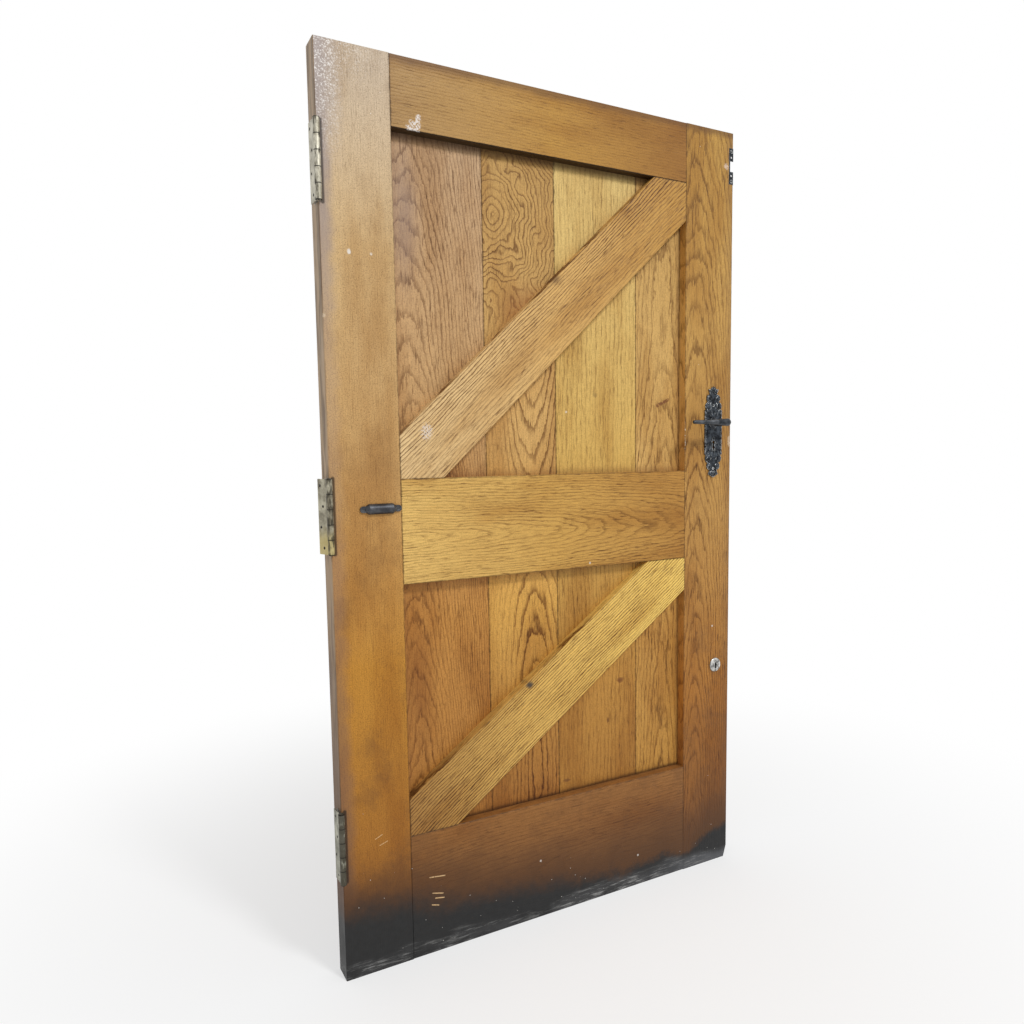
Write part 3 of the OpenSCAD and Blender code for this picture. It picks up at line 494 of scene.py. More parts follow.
def soot(g, colour):
    """Black scorched or sodden foot of the door with scuffs along its lowest edge."""
    left = g.math("POWER", g.step(g.x, 0.25, HINGE_EDGE), 1.2)
    right = g.step(g.x, 0.40, LOCK_EDGE)
    height = g.add(SOOT_H, g.product(left, SOOT_RISE_LEFT), g.product(right, SOOT_RISE_RIGHT))
    cloud = g.add(
        g.product(g.noise(g.point, 8.0, detail=5.0), 0.09),
        g.product(g.noise(g.point, 60.0, detail=6.0, roughness=0.7), 0.045), -0.067,
    )
    above = g.add(g.z, cloud, g.product(height, -1.0))
    colour = g.coat(colour, SOOT_BROWN, g.step(above, SOOT_BROWN_REACH, 0.0))
    black = g.mix(g.noise(g.point, 70.0, detail=6.0), SOOT, SOOT_PALE)
    crisp = g.product(above, g.between(g.step(g.x, -0.1, 0.4), 1.0, 3.0))
    colour = g.coat(colour, black, g.step(crisp, 0.050, -0.040))
    low = g.step(g.wavering(g.z, 9.0, 4.0, -0.06), 0.014, -0.014)
    streak = g.noise(g.scaled(15.0, 60.0, 150.0), detail=10.0, roughness=0.75, distortion=0.15)
    rubbed = g.step(g.noise(g.point, 14.0, detail=3.0), 0.40, 0.62)
    rightward = g.between(g.step(g.x, -0.3, 0.5), 0.60, 1.0)
    colour = g.coat(colour, SOOT_RUBBED, low, rubbed, rightward, 0.45)
    colour = g.coat(colour, SOOT_CORNER, low, g.step(g.x, 0.20, 0.52), 0.55)
    scuffs = g.step(streak, 0.50, 0.63)
    colour = g.coat(colour, SCUFF, low, scuffs, g.between(rubbed, 0.35, 0.95), rightward)
    return specks(g, colour, g.product(g.step(above, SOOT_SPECK_REACH, 0.0), 0.28))


def oak(name, along, face, figure, tones, axis="z", marks=(), front_marks=()):
    """Dresses a piece in oak: tones along an axis, the figure, marks, and marks on the front only."""
    g = Painting("oak_" + name)
    grain = Grain(g, name, along, figure.seed)
    colour = g.ramp(getattr(g, axis), tones)

    mottle = grain.noise(MOTTLE, detail=4.0)
    colour = g.tint(colour, BLOTCH_TINT, g.step(mottle, 0.42, 0.70))
    patchy = g.step(grain.noise(PATCHES, detail=2.0), 0.25, 0.65)
    lines = g.product(ring_lines(g, grain, figure), g.between(patchy, 0.60, 1.0))
    colour = g.tint(colour, LINE_TINT, lines, figure.line)
    fibre = grain.noise(FIBRES, detail=3.0, roughness=0.65)
    colour = g.tint(colour, PALE_TINT, g.step(fibre, 0.48, 0.30), figure.fibre)
    colour = g.tint(colour, LINE_TINT, g.step(fibre, 0.52, 0.72), figure.fibre)
    stipple = g.noise(g.point, 380.0, detail=3.0, roughness=0.7)
    colour = g.tint(colour, LINE_TINT, g.step(stipple, 0.50, 0.70), figure.fleck)
    colour = g.tint(colour, PALE_TINT, g.step(stipple, 0.50, 0.32), figure.fleck)
    dashes = grain.noise(PORES, detail=1.0)
    pores = g.product(g.step(dashes, 0.58, 0.72), g.between(lines, 0.35, 1.0))
    colour = g.tint(colour, LINE_TINT, pores, figure.pores)
    short = grain.noise(FLECKS, detail=2.0, distortion=0.4)
    flecks = g.product(g.step(short, 0.56, 0.72), g.between(patchy, 0.4, 1.0))
    colour = g.tint(colour, LINE_TINT, flecks, figure.pores, 0.8)

    joint = g.step(g.wavering(border(g, face), 90.0, 3.0, 0.006), 0.0062, 0.0022)
    front = g.facing(-DEPTH)
    broad = g.most(g.facing(DEPTH), front)
    colour = g.coat(colour, DIRT, joint, broad, 0.70)
    for mark in marks:
        colour = mark(g, colour)
    for mark in front_marks:
        colour = g.coat(colour, mark(g, colour), front)

    height = g.add(
        g.product(lines, -0.7), g.product(pores, -0.6), g.product(flecks, -0.5), g.product(fibre, 0.5),
    )
    normal = g.bump(height, figure.relief)
    worn = g.noise(g.point, 14.0, detail=4.0)
    roughness = g.add(OAK_ROUGHNESS, g.product(worn, 0.2), g.product(lines, 0.08))
    dress([name], g.surface(colour, roughness, normal, **{"Specular IOR Level": OAK_SHINE}))


# Marks on the wood: each takes a graph and a colour, and returns the colour with the mark on it

def scratches(*strokes, width=0.0011, colour=SCRATCH):
    """Mark of scratches or rubbed lines, each from one place to another."""
    def draw(g, under):
        lines = g.most(*[g.stroke(start, end, width) for start, end in strokes])
        broken = g.step(g.noise(g.point, 260.0), 0.30, 0.5)
        return g.coat(under, colour, lines, broken)
    return draw


def patch(place, reach_x, reach_z, colour, strength=0.8, grain=120.0, start=0.40):
    """Mark of a broken patch of paint, dirt or wear round a place."""
    def draw(g, under):
        area = g.spot(place, reach_x, reach_z)
        level = g.add(g.noise(g.point, grain, detail=4.0), g.product(area, 0.35))
        broken = g.step(level, start + 0.2, start + 0.35)
        return g.coat(under, colour, area, broken, strength)
    return draw


def blotch(place, reach_x, reach_z, colour, strength=0.8):
    """Mark of a dark blotch with a coarse outline."""
    return patch(place, reach_x, reach_z, colour, strength, grain=80.0, start=0.35)


def splash(*strokes):
    """Mark of thin paint splashed along some strokes and broken by the grain under it."""
    def draw(g, under):
        area = g.most(*[g.stroke(start, end, SPLASH_WIDTH) for start, end in strokes])
        broken = g.noise(g.point, 330.0, detail=5.0, roughness=0.7)
        paint = g.step(g.add(broken, g.product(area, 0.10)), 0.54, 0.66)
        return g.coat(under, SPLASH, area, paint, 0.9)
    return draw


def spots(*places, reach=0.004, colour=SPECK):
    """Mark of single round spots."""
    def draw(g, under):
        area = g.most(*[g.spot(place, reach, reach, 0.3) for place in places])
        broken = g.step(g.noise(g.point, 500.0, detail=2.0), 0.30, 0.55)
        return g.coat(under, colour, area, broken, 0.8)
    return draw


def scattered(amount):
    """Mark of single pale dots all over a piece."""
    def draw(g, under):
        return specks(g, under, amount, size=0.0011, scale=45.0)
    return draw


def stained(place, reach_x, reach_z, colour, strength):
    """Mark of a soft stain that lets the grain through."""
    def draw(g, under):
        cloud = g.between(g.noise(g.point, 24.0, detail=4.0), 0.6, 1.4)
        return g.coat(under, colour, g.spot(place, reach_x, reach_z, 0.0), cloud, strength)
    return draw


def corner_shade(g, colour):
    """Painted shade on the boards in the corners along the frame, darkest under the top rail and along the
    top of the bottom rail.
    """
    off = g.least(
        border(g, (INNER_LEFT, INNER_RIGHT, BOTTOM_HIGH, TOP_RAIL_LOW)),
        g.away(g.z, MIDDLE_LOW), g.away(g.z, MIDDLE_HIGH),
    )
    reach = g.wavering(off, 30.0, 3.0, 0.01)
    colour = g.coat(colour, CORNER_SHADE_COLOUR, g.step(reach, 0.026, 0.004), 0.30)
    under_rail = g.step(g.z, TOP_RAIL_LOW - 0.020, TOP_RAIL_LOW - 0.004)
    colour = g.coat(colour, UNDER_RAIL_SHADOW, under_rail, 0.6)
    on_rail = g.wavering(g.add(g.z, -BOTTOM_HIGH), 30.0, 3.0, 0.01)
    return g.coat(colour, BOARD_FOOT_SHADE, g.step(on_rail, 0.016, 0.006), 0.75)


def hinge_shade(g, colour):
    """Painted shadow on the hinge stile along the barrels of the hinges."""
    line = HINGE_EDGE + BARREL_SHADE_OFF
    for place in HINGES:
        low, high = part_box(place + "_hinge_frame_leaf")
        shade = g.stroke((line, low.z), (line, high.z), BARREL_SHADE_WIDTH)
        colour = g.coat(colour, PAINTED_SHADE, shade, 0.8)
    return colour


def hinge_edge_bands(g, colour):
    """Greyed hinge edge, a grey band down beside it that is strongest higher up and browner lower down, and
    frosted flecks near the top.
    """
    beside = g.step(g.wavering(g.x, 25.0, 4.0, 0.03), HINGE_EDGE + 0.055, HINGE_EDGE + 0.022)
    upper = g.step(g.z, 1.25, 1.75)
    colour = g.coat(colour, GREY_BAND, beside, g.between(upper, 0.20, 0.72))
    lower = g.step(g.z, 1.1, 0.5)
    colour = g.coat(colour, BROWN_BAND, beside, lower, 0.35)
    strip = g.product(g.step(g.z, 1.72, 1.93), g.step(g.x, HINGE_EDGE + 0.065, HINGE_EDGE + 0.030))
    crown = g.product(g.step(g.z, 1.90, 1.99), g.step(g.x, INNER_LEFT + 0.02, HINGE_EDGE))
    frost = g.most(strip, g.product(crown, 0.7))
    flakes = g.noise(g.point, 330.0, detail=4.0, roughness=0.7)
    colour = g.coat(colour, FROST_GROUND, strip, 0.45)
    colour = g.coat(colour, FROST_DARK, frost, g.step(flakes, 0.46, 0.36), 0.45)
    colour = g.coat(colour, FROST_PALE, frost, g.step(flakes, 0.52, 0.62), 0.90)
    stain = g.noise(g.scaled(*EDGE_STREAKS), detail=5.0)
    grey = g.mix(g.step(stain, 0.40, 0.68), HINGE_EDGE_PALE, HINGE_EDGE_DARK)
    grey = g.coat(grey, HINGE_EDGE_FOOT, g.step(g.z, 1.1, 0.2))
    return g.coat(colour, grey, g.facing(-RIGHT), 0.9)


def lock_edge_wear(g, colour):
    """Darker wood towards the lock edge, bare on the edge itself."""
    beside = g.step(g.wavering(g.x, 22.0, 4.0, -0.03), LOCK_EDGE - 0.05, LOCK_EDGE)
    colour = g.coat(colour, LOCK_SIDE, beside, 0.45)
    stain = g.noise(g.scaled(*EDGE_STREAKS), detail=5.0)
    return g.coat(colour, g.mix(stain, LOCK_EDGE_PALE, LOCK_EDGE_DARK), g.facing(RIGHT), 0.6)


def dingy(g, colour):
    """Old dirt in soft clouds, more of it lower down."""
    cloud = g.step(g.noise(g.point, 9.0, detail=8.0, roughness=0.68), 0.47, 0.68)
    lower = g.between(g.step(g.z, 1.5, 0.4), 0.30, 1.0)
    return g.coat(colour, CLOUD_DIRT, cloud, lower, 0.42)


def underside_shade(g, colour):
    """Painted shade on the under side of a rail."""
    return g.coat(colour, RAIL_UNDERSIDE_SHADE, g.facing(-UP), 0.9)


def lit_inner_side(g, colour):
    """Painted light: the side of the lock stile that faces the boards is made paler."""
    return g.tint(colour, INNER_SIDE_LIGHT, g.facing(-RIGHT))


def dark_top(g, colour):
    """Dirt along the upper edge of the door."""
    high = g.step(g.wavering(g.z, 18.0, 3.0, 0.02), LEAF_H - 0.012, LEAF_H + 0.006)
    return g.coat(colour, TOP_DIRT, high, 0.6)


def brace_axis(name):
    """Direction along a brace, from its lower to its upper corner."""
    low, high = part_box(name)
    slope = atan2(high.z - low.z, high.x - low.x)
    return Vector((cos(slope), 0, sin(slope)))


def board_faces():
    """Visible rectangle of each board, from the hinge side."""
    names = ["board_1", "board_2", "board_3", "board_4"]
    seams = [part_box(name)[0].x for name in names[1:]]
    sides = zip([INNER_LEFT] + seams, seams + [INNER_RIGHT])
    return {name: (left, right, BELOW, LEAF_H) for name, (left, right) in zip(names, sides)}


def dress_wood():
    rails_x = (INNER_LEFT, INNER_RIGHT)
    boards = board_faces()
    rail_middle = (MIDDLE_LOW + MIDDLE_HIGH) / 2
    oak(
        "hinge_stile", UP, (HINGE_EDGE, INNER_LEFT, BELOW, ABOVE),
        Figure(ring=0.0055, pith=(0.5, 0.0), slope=0.01, swirl=1.4, ripple=0.35, line=0.10, pores=0.30,
               fibre=0.12, fleck=0.55, relief=0.0003, seed=1.0),
        [(0.1, rgb(150, 94, 36)), (0.7, rgb(192, 136, 52)), (1.15, rgb(198, 157, 100)),
         (1.6, rgb(207, 175, 126)), (2.0, rgb(195, 178, 156))],
        marks=[dingy, hinge_edge_bands, soot, scattered(0.05)],
        front_marks=[
            hinge_shade, patch((-0.4997, 1.585), 0.007, 0.012, SPECK), spots((-0.452, 1.586)),
            spots((-0.558, 1.453), reach=0.006, colour=rgb(212, 192, 164)),
            scratches(((-0.484, 0.311), (-0.468, 0.318)), ((-0.474, 0.294), (-0.456, 0.300)))],
    )
    oak(
        "lock_stile", UP, (INNER_RIGHT, LOCK_EDGE, BELOW, ABOVE),
        Figure(ring=0.0065, pith=(-0.045, -1.1), slope=0.08, swirl=2.2, ripple=0.7, line=0.75, pores=0.9,
               fibre=0.30, fleck=0.40, relief=0.0006, seed=2.0),
        [(0.1, rgb(124, 78, 38)), (0.5, rgb(171, 115, 50)), (1.0, rgb(188, 143, 78)),
         (1.6, rgb(193, 151, 82)), (2.0, rgb(182, 141, 71))],
        marks=[dingy, lit_inner_side, lock_edge_wear, soot, dark_top, scattered(0.07)],
        front_marks=[
            spots((0.500, 0.680)),
            patch((0.536, 1.912), 0.015, 0.015, rgb(222, 200, 184), 0.65, grain=260.0, start=0.46),
            patch((LOCK_EDGE - 0.006, 1.190), 0.008, 0.030, rgb(212, 188, 158), 0.7,
                  grain=200.0, start=0.45),
            # Painted shadow of the key plate, to its lower left on the stile
            spots((KEY_PLATE.x - 0.003, KEY_PLATE.z - 0.003), reach=0.027, colour=KEY_PLATE_SHADE),
            patch((INNER_RIGHT, 1.20), 0.006, 0.10, rgb(226, 214, 196), 0.7, grain=160.0, start=0.60)],
    )
    oak(
        "top_rail", RIGHT, rails_x + (TOP_RAIL_LOW, ABOVE),
        Figure(ring=0.007, pith=(0.25, 0.0), slope=0.03, swirl=1.8, ripple=0.4, line=0.28, pores=0.6,
               fibre=0.20, fleck=0.40, relief=0.0004, seed=3.0),
        [(-0.4, rgb(168, 133, 84)), (0.0, rgb(180, 136, 63)), (0.4, rgb(150, 105, 50))], axis="x",
        marks=[dark_top, underside_shade, scattered(0.05)],
        front_marks=[
            splash(((-0.362, 1.857), (-0.340, 1.852)), ((-0.354, 1.868), (-0.340, 1.862)),
                   ((-0.340, 1.860), (-0.338, 1.882)))],
    )
    oak(
        "middle_rail", RIGHT, rails_x + (MIDDLE_LOW, MIDDLE_HIGH),
        Figure(ring=0.0062, pith=(0.015, -0.45), slope=0.08, swirl=2.8, ripple=0.8, line=0.60, pores=1.0,
               fibre=0.35, fleck=0.35, relief=0.0006, seed=4.0),
        [(-0.4, rgb(224, 185, 108)), (0.0, rgb(202, 158, 82)), (0.4, rgb(180, 132, 64))], axis="x",
        marks=[scattered(0.02)],
        front_marks=[spots((0.095, 0.888))],
    )
    oak(
        "bottom_rail", RIGHT, rails_x + (BELOW, BOTTOM_HIGH),
        Figure(ring=0.008, pith=(0.03, 0.50), slope=0.08, swirl=2.4, ripple=0.6, line=0.40, pores=0.7,
               fibre=0.18, fleck=0.40, relief=0.0004, seed=5.0),
        [(0.0, rgb(112, 74, 40)), (0.16, rgb(136, 92, 50)), (0.3, rgb(152, 104, 54))],
        marks=[dingy, soot, scattered(0.05)],
        front_marks=[
            spots((-0.058, 0.147), (0.244, 0.083)),
            scratches(((-0.356, 0.186), (-0.318, 0.181)), ((-0.350, 0.146), (-0.324, 0.139)),
                      ((-0.343, 0.132), (-0.322, 0.128)), ((-0.352, 0.118), (-0.336, 0.113)),
                      width=0.0018)],
    )
    oak(
        "upper_brace", brace_axis("upper_brace"), rails_x + (MIDDLE_HIGH, TOP_RAIL_LOW),
        Figure(ring=0.0075, pith=(-0.22, 0.0), slope=0.02, swirl=3.2, ripple=0.7, line=1.8, pores=0.9,
               fibre=0.45, fleck=0.30, relief=0.0014, seed=6.0, fade=(-0.040, 0.005)),
        [(-0.4, rgb(228, 196, 144)), (0.0, rgb(210, 168, 102)), (0.4, rgb(188, 143, 72))], axis="x",
        marks=[
            patch((-0.336, 1.215), 0.030, 0.036, rgb(226, 214, 202), 0.7, grain=300.0, start=0.54),
            stained((0.0, 1.575), 0.030, 0.022, rgb(84, 54, 30), 0.7)],
    )
    oak(
        "lower_brace", brace_axis("lower_brace"), rails_x + (BOTTOM_HIGH, MIDDLE_LOW),
        Figure(ring=0.0064, pith=(0.30, 0.0), slope=0.01, swirl=2.4, ripple=0.5, line=1.6, pores=1.0,
               fibre=0.55, fleck=0.30, relief=0.0016, seed=7.0),
        [(-0.4, rgb(168, 124, 66)), (-0.1, rgb(218, 175, 94)), (0.4, rgb(242, 204, 108))], axis="x",
        marks=[patch((-0.083, 0.602), 0.016, 0.012, rgb(52, 52, 54), 0.9, grain=90.0, start=0.30)],
    )
    oak(
        "board_1", UP, boards["board_1"],
        Figure(ring=0.0050, pith=(-0.07, -1.4), slope=0.08, swirl=3.0, ripple=0.8, line=0.75, pores=0.9,
               fibre=0.30, fleck=0.40, relief=0.0005, seed=8.0),
        [(0.3, rgb(172, 117, 54)), (0.8, rgb(193, 138, 69)), (1.2, rgb(198, 157, 104)),
         (1.85, rgb(192, 160, 124))],
        marks=[soot],
        front_marks=[
            corner_shade, stained((-0.37, 1.68), 0.055, 0.22, rgb(126, 108, 106), 0.45),
            stained((-0.36, 0.62), 0.050, 0.26, rgb(120, 70, 34), 0.35)],
    )
    oak(
        "board_2", UP, boards["board_2"],
        Figure(ring=0.0105, pith=(0.03, 0.62), slope=0.16, swirl=1.8, ripple=0.5, line=1.05, pores=0.8,
               fibre=0.30, fleck=0.40, relief=0.0006, seed=9.0, fold=rail_middle,
               fade=(-0.01, -0.06), knot=(-0.148, 1.712, 0.65, 1.40, 1.58)),
        [(0.3, rgb(160, 106, 47)), (0.8, rgb(214, 164, 82)), (1.2, rgb(208, 166, 102)),
         (1.85, rgb(184, 145, 84))],
        marks=[soot],
        front_marks=[corner_shade, stained((-0.06, 1.50), 0.10, 0.09, rgb(150, 94, 52), 0.5)],
    )
    oak(
        "board_3", UP, boards["board_3"],
        Figure(ring=0.013, pith=(0.24, 0.0), slope=0.02, swirl=1.7, ripple=0.4, line=0.40, pores=0.8,
               fibre=0.30, fleck=0.35, relief=0.0004, seed=10.0),
        [(0.3, rgb(173, 122, 54)), (0.6, rgb(188, 138, 65)), (1.15, rgb(210, 171, 93)),
         (1.85, rgb(219, 190, 122))],
        marks=[soot],
        front_marks=[
            corner_shade, spots((0.044, 1.264)),
            blotch((0.2045, 0.5647), 0.018, 0.012, rgb(110, 62, 30)),
            blotch((0.1656, 0.463), 0.006, 0.012, rgb(100, 58, 28)),
            blotch((0.037, 0.327), 0.020, 0.007, rgb(104, 64, 34), 0.7),
            blotch((0.130, 1.307), 0.012, 0.009, rgb(120, 96, 56), 0.5)],
    )
    oak(
        "board_4", UP, boards["board_4"],
        Figure(ring=0.008, pith=(0.01, -1.3), slope=0.06, swirl=2.2, ripple=0.7, line=0.70, pores=1.0,
               fibre=0.30, fleck=0.35, relief=0.0005, seed=11.0),
        [(0.3, rgb(188, 138, 64)), (0.8, rgb(203, 155, 82)), (1.2, rgb(213, 173, 105)),
         (1.85, rgb(188, 150, 89))],
        marks=[soot],
        front_marks=[
            corner_shade,
            scratches(((0.327, 1.284), (0.362, 1.299)), width=0.006, colour=rgb(122, 78, 46))],
    )


# Metals

# A used metal. Lengths are in metres.
#   dark, light  its two tones
#   worn         colour of its rubbed arrises
#   metallic, rough  as on the shader
#   grain        scale of the clouds between the tones
#   dents        scale of the dents
#   relief       depth of the dents
#   wear         strength of the rubbed arrises
#   arris        width of the rubbed arrises
Metal = namedtuple(
    "Metal", "dark light worn metallic rough grain dents relief wear arris", defaults=(0.0015,)
)

PIT_TINT = (0.55, 0.52, 0.48, 1)
TARNISH_TINT = (0.46, 0.48, 0.46, 1)
BARREL_DIRT = rgb(62, 57, 46)
HINGE_WORN = rgb(232, 228, 214)
PLATING = rgb(196, 178, 116)
# Colours, roughness and relief of the dark plugs that stand for painted shade in the hinge holes
HOLE_PLUG_DARK = rgb(20, 17, 14)
HOLE_PLUG_LIGHT = rgb(46, 40, 34)
HOLE_PLUG_ROUGHNESS = 0.9
HOLE_PLUG_RELIEF = 0.0004
LUMPS_SCALE = 900.0
PIT_FINENESS = 12
RUB_FINENESS = 2.5
CREVICE_REACH = 0.006
# Reaches of the painted shade at the knuckle seams and round the hinge holes
SEAM_FULL = 0.02
SEAM_END = 0.045
HOLE_SHADE_FULL = 0.0030
HOLE_SHADE_END = 0.0036

# Heights between which plating is left on the middle hinge, from its lower end
PLATING_FULL = 0.045
PLATING_END = 0.085

# Painted shade in a keyhole's shape round the keyhole: heights of its two ends from the middle of the key
# plate, and its reach
KEYHOLE_TOP = 0.0040
KEYHOLE_FOOT = -0.0075
KEYHOLE_TOP_REACH = 0.0042
KEYHOLE_FOOT_REACH = 0.0034
KEYHOLE_NECK = 0.0030


def metal(name, finish, marks=()):
    """Used metal: two tones, hammered or pitted ground, painted shade in its corners and bright worn
    arrises.
    """
    g = Painting(name)
    cloud = g.noise(g.point, finish.grain, detail=5.0, roughness=0.6)
    colour = g.mix(g.step(cloud, 0.35, 0.68), finish.dark, finish.light)
    fine = g.noise(g.point, PIT_FINENESS * finish.grain, detail=3.0)
    colour = g.tint(colour, PIT_TINT, g.step(fine, 0.55, 0.75), 0.35)
    patchy = g.step(g.noise(g.point, RUB_FINENESS * finish.grain, detail=3.0), 0.35, 0.6)
    rubbed = g.product(g.edges(finish.arris), patchy)
    colour = g.coat(colour, finish.worn, rubbed, finish.wear)
    for mark in marks:
        colour = mark(g, colour)
    # Painted shade in corners and gaps
    colour = g.coat(colour, PAINTED_SHADE, g.crevices(CREVICE_REACH), 0.85)
    dent = g.cells(g.point, finish.dents)[0]
    normal = g.bump(g.add(dent, g.product(fine, 0.25)), finish.relief)
    roughness = g.add(finish.rough - 0.1, g.product(cloud, 0.25), g.product(rubbed, -0.1))
    return g.surface(colour, roughness, normal, Metallic=finish.metallic)


def hinge_dirt_and_shade(place, clean):
    """Mark of painted shade in the seams between a hinge's knuckles and in and round its holes, and dirt on
    its barrel.
    """
    middle = centre(place + "_hinge_pin")
    barrel_low, barrel_high = (corner.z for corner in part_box(place + "_hinge_frame_leaf"))

    def draw(g, under):
        off_axis = g.length(g.vector(g.add(g.x, -middle.x), g.add(g.y, -middle.y), 0.0))
        barrel = g.step(off_axis, BARREL_R + 0.0015, BARREL_R + 0.0005)
        turns = g.product(g.add(g.z, -barrel_low), KNUCKLES / (barrel_high - barrel_low))
        from_seam = g.math("PINGPONG", turns, 0.5)
        near_seam = g.product(g.step(from_seam, 0.4, 0.0), 0.1)
        soiled = g.add(g.noise(g.scaled(150.0, 150.0, 45.0), detail=4.0), near_seam)
        under = g.coat(under, BARREL_DIRT, barrel, g.step(soiled, clean, clean + 0.2), 0.85)
        # Painted shade in the seams between the knuckles
        under = g.coat(under, PAINTED_SHADE, barrel, g.step(from_seam, SEAM_END, SEAM_FULL), 0.85)
        # Painted shade in and round the screw holes
        for row in range(HINGE_HOLES):
            up = g.add(g.z, -barrel_low - HINGE_HOLE_LOW - row * HINGE_HOLE_STEP)
            out = g.add(off_axis, -HINGE_HOLE_ROWS[row % 2])
            off_hole = g.length(g.vector(up, out, 0.0))
            under = g.coat(under, PAINTED_SHADE, g.step(off_hole, HOLE_SHADE_END, HOLE_SHADE_FULL))
        return under
    return draw


def brassy(g, under):
    """Mark of plating that is left on the lower part of the middle hinge."""
    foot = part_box("middle_hinge_frame_leaf")[0].z
    left = g.step(g.wavering(g.z, 26.0, 3.0, 0.05), foot + PLATING_END, foot + PLATING_FULL)
    return g.coat(under, PLATING, left, 0.75)


def tarnished(g, under):
    """Mark of steel that has gone dark in blotches."""
    dark = g.step(g.noise(g.point, 38.0, detail=5.0), 0.40, 0.66)
    return g.tint(under, TARNISH_TINT, dark, 0.55)


def painted_keyhole_shade(g, under):
    """Mark of painted shade in a keyhole's shape round the keyhole of a key plate, which makes the keyhole
    look larger.
    """
    top = (KEY_PLATE.x, KEY_PLATE.z + KEYHOLE_TOP)
    foot = (KEY_PLATE.x, KEY_PLATE.z + KEYHOLE_FOOT)
    area = g.most(
        g.spot(top, KEYHOLE_TOP_REACH, KEYHOLE_TOP_REACH, 0.5),
        g.spot(foot, KEYHOLE_FOOT_REACH, KEYHOLE_FOOT_REACH, 0.5),
        g.stroke(top, foot, KEYHOLE_NECK),
    )
    return g.coat(under, PAINTED_SHADE, area, 0.95)


def hinge_steel(place, dark, light, clean, *marks):
    """Steel of one hinge; its barrel is free of grime where a noise stays below the level clean."""
    finish = Metal(
        dark=dark, light=light, worn=HINGE_WORN, metallic=0.75, rough=0.44,
        grain=42.0, dents=500.0, relief=0.0001, wear=0.8)
    parts = [f"{place}_hinge_{part}" for part in ("door_leaf", "frame_leaf", "pin")]
    dress(parts, metal("hinge_steel_" + place, finish, [*marks, hinge_dirt_and_shade(place, clean)]))


def dress_metal():
    dress(["front_plate", "back_plate", "plate_screws", "board_nails"], metal("black_iron_hammered", Metal(
        dark=rgb(24, 26, 30), light=rgb(74, 80, 87), worn=rgb(228, 230, 228), metallic=0.9, rough=0.40,
        grain=75.0, dents=115.0, relief=0.0020, wear=0.9, arris=0.0035)))
    dress(["front_lever", "back_lever"], metal("lever_iron", Metal(
        dark=rgb(42, 45, 49), light=rgb(98, 101, 105), worn=rgb(206, 205, 202), metallic=0.9, rough=0.38,
        grain=40.0, dents=80.0, relief=0.0012, wear=0.8, arris=0.0035)))
    dress(["keep_plate"], metal("keep_steel_dark", Metal(
        dark=rgb(38, 40, 44), light=rgb(64, 67, 72), worn=rgb(206, 206, 202), metallic=0.9, rough=0.42,
        grain=60.0, dents=240.0, relief=0.0002, wear=0.7)))
    dress(["keep_screws"], metal("keep_screw_steel", Metal(
        dark=rgb(64, 65, 66), light=rgb(110, 110, 108), worn=rgb(232, 231, 227), metallic=0.95, rough=0.34,
        grain=80.0, dents=400.0, relief=0.0001, wear=1.0)))
    lock_fronts = ["lock_forend", "latch_bolt", "dead_bolt", "low_lock_forend", "low_lock_bolt", "follower"]
    dress(lock_fronts, metal("brass_dull", Metal(
        dark=rgb(120, 92, 48), light=rgb(178, 146, 82), worn=rgb(218, 194, 130), metallic=0.9, rough=0.42,
        grain=40.0, dents=240.0, relief=0.0002, wear=0.5)))
    lock_insides = ["lock_case", "lock_cover", "low_lock_case", "spindle", "latch_spring"]
    dress(lock_insides, metal("lock_steel_grey", Metal(
        dark=rgb(96, 92, 86), light=rgb(140, 136, 128), worn=rgb(190, 188, 182), metallic=0.85, rough=0.5,
        grain=30.0, dents=260.0, relief=0.0002, wear=0.4)))
    # Painted reflections: the chrome's dark and light blotches stand in for what it reflects
    dress(["front_rosette", "back_rosette"], metal("chrome_worn", Metal(
        dark=rgb(118, 117, 114), light=rgb(226, 225, 220), worn=rgb(238, 237, 233), metallic=1.0, rough=0.26,
        grain=105.0, dents=400.0, relief=0.0001, wear=0.8), [painted_keyhole_shade]))
    dress(["stop_block", "stop_screws"], metal("gunmetal_dark", Metal(
        dark=rgb(52, 53, 57), light=rgb(86, 88, 92), worn=rgb(140, 140, 140), metallic=0.7, rough=0.42,
        grain=50.0, dents=240.0, relief=0.0002, wear=0.5)))
    dress(["hinge_screws", "forend_screws"], metal("screw_steel_worn", Metal(
        dark=rgb(118, 112, 100), light=rgb(168, 162, 148), worn=rgb(214, 210, 202), metallic=0.9, rough=0.38,
        grain=80.0, dents=400.0, relief=0.0001, wear=0.6)))
    hinge_steel("top", rgb(150, 144, 126), rgb(212, 207, 190), 0.52)
    hinge_steel("middle", rgb(120, 113, 95), rgb(190, 184, 162), 0.44, brassy)
    hinge_steel("bottom", rgb(128, 126, 110), rgb(186, 184, 168), 0.28, tarnished)


# Added pieces

MM = 0.001
PETAL_SEGMENTS = 20
PETAL_RINGS = 12
HOLE_SEGMENTS = 24
HOLE_RINGS = 8

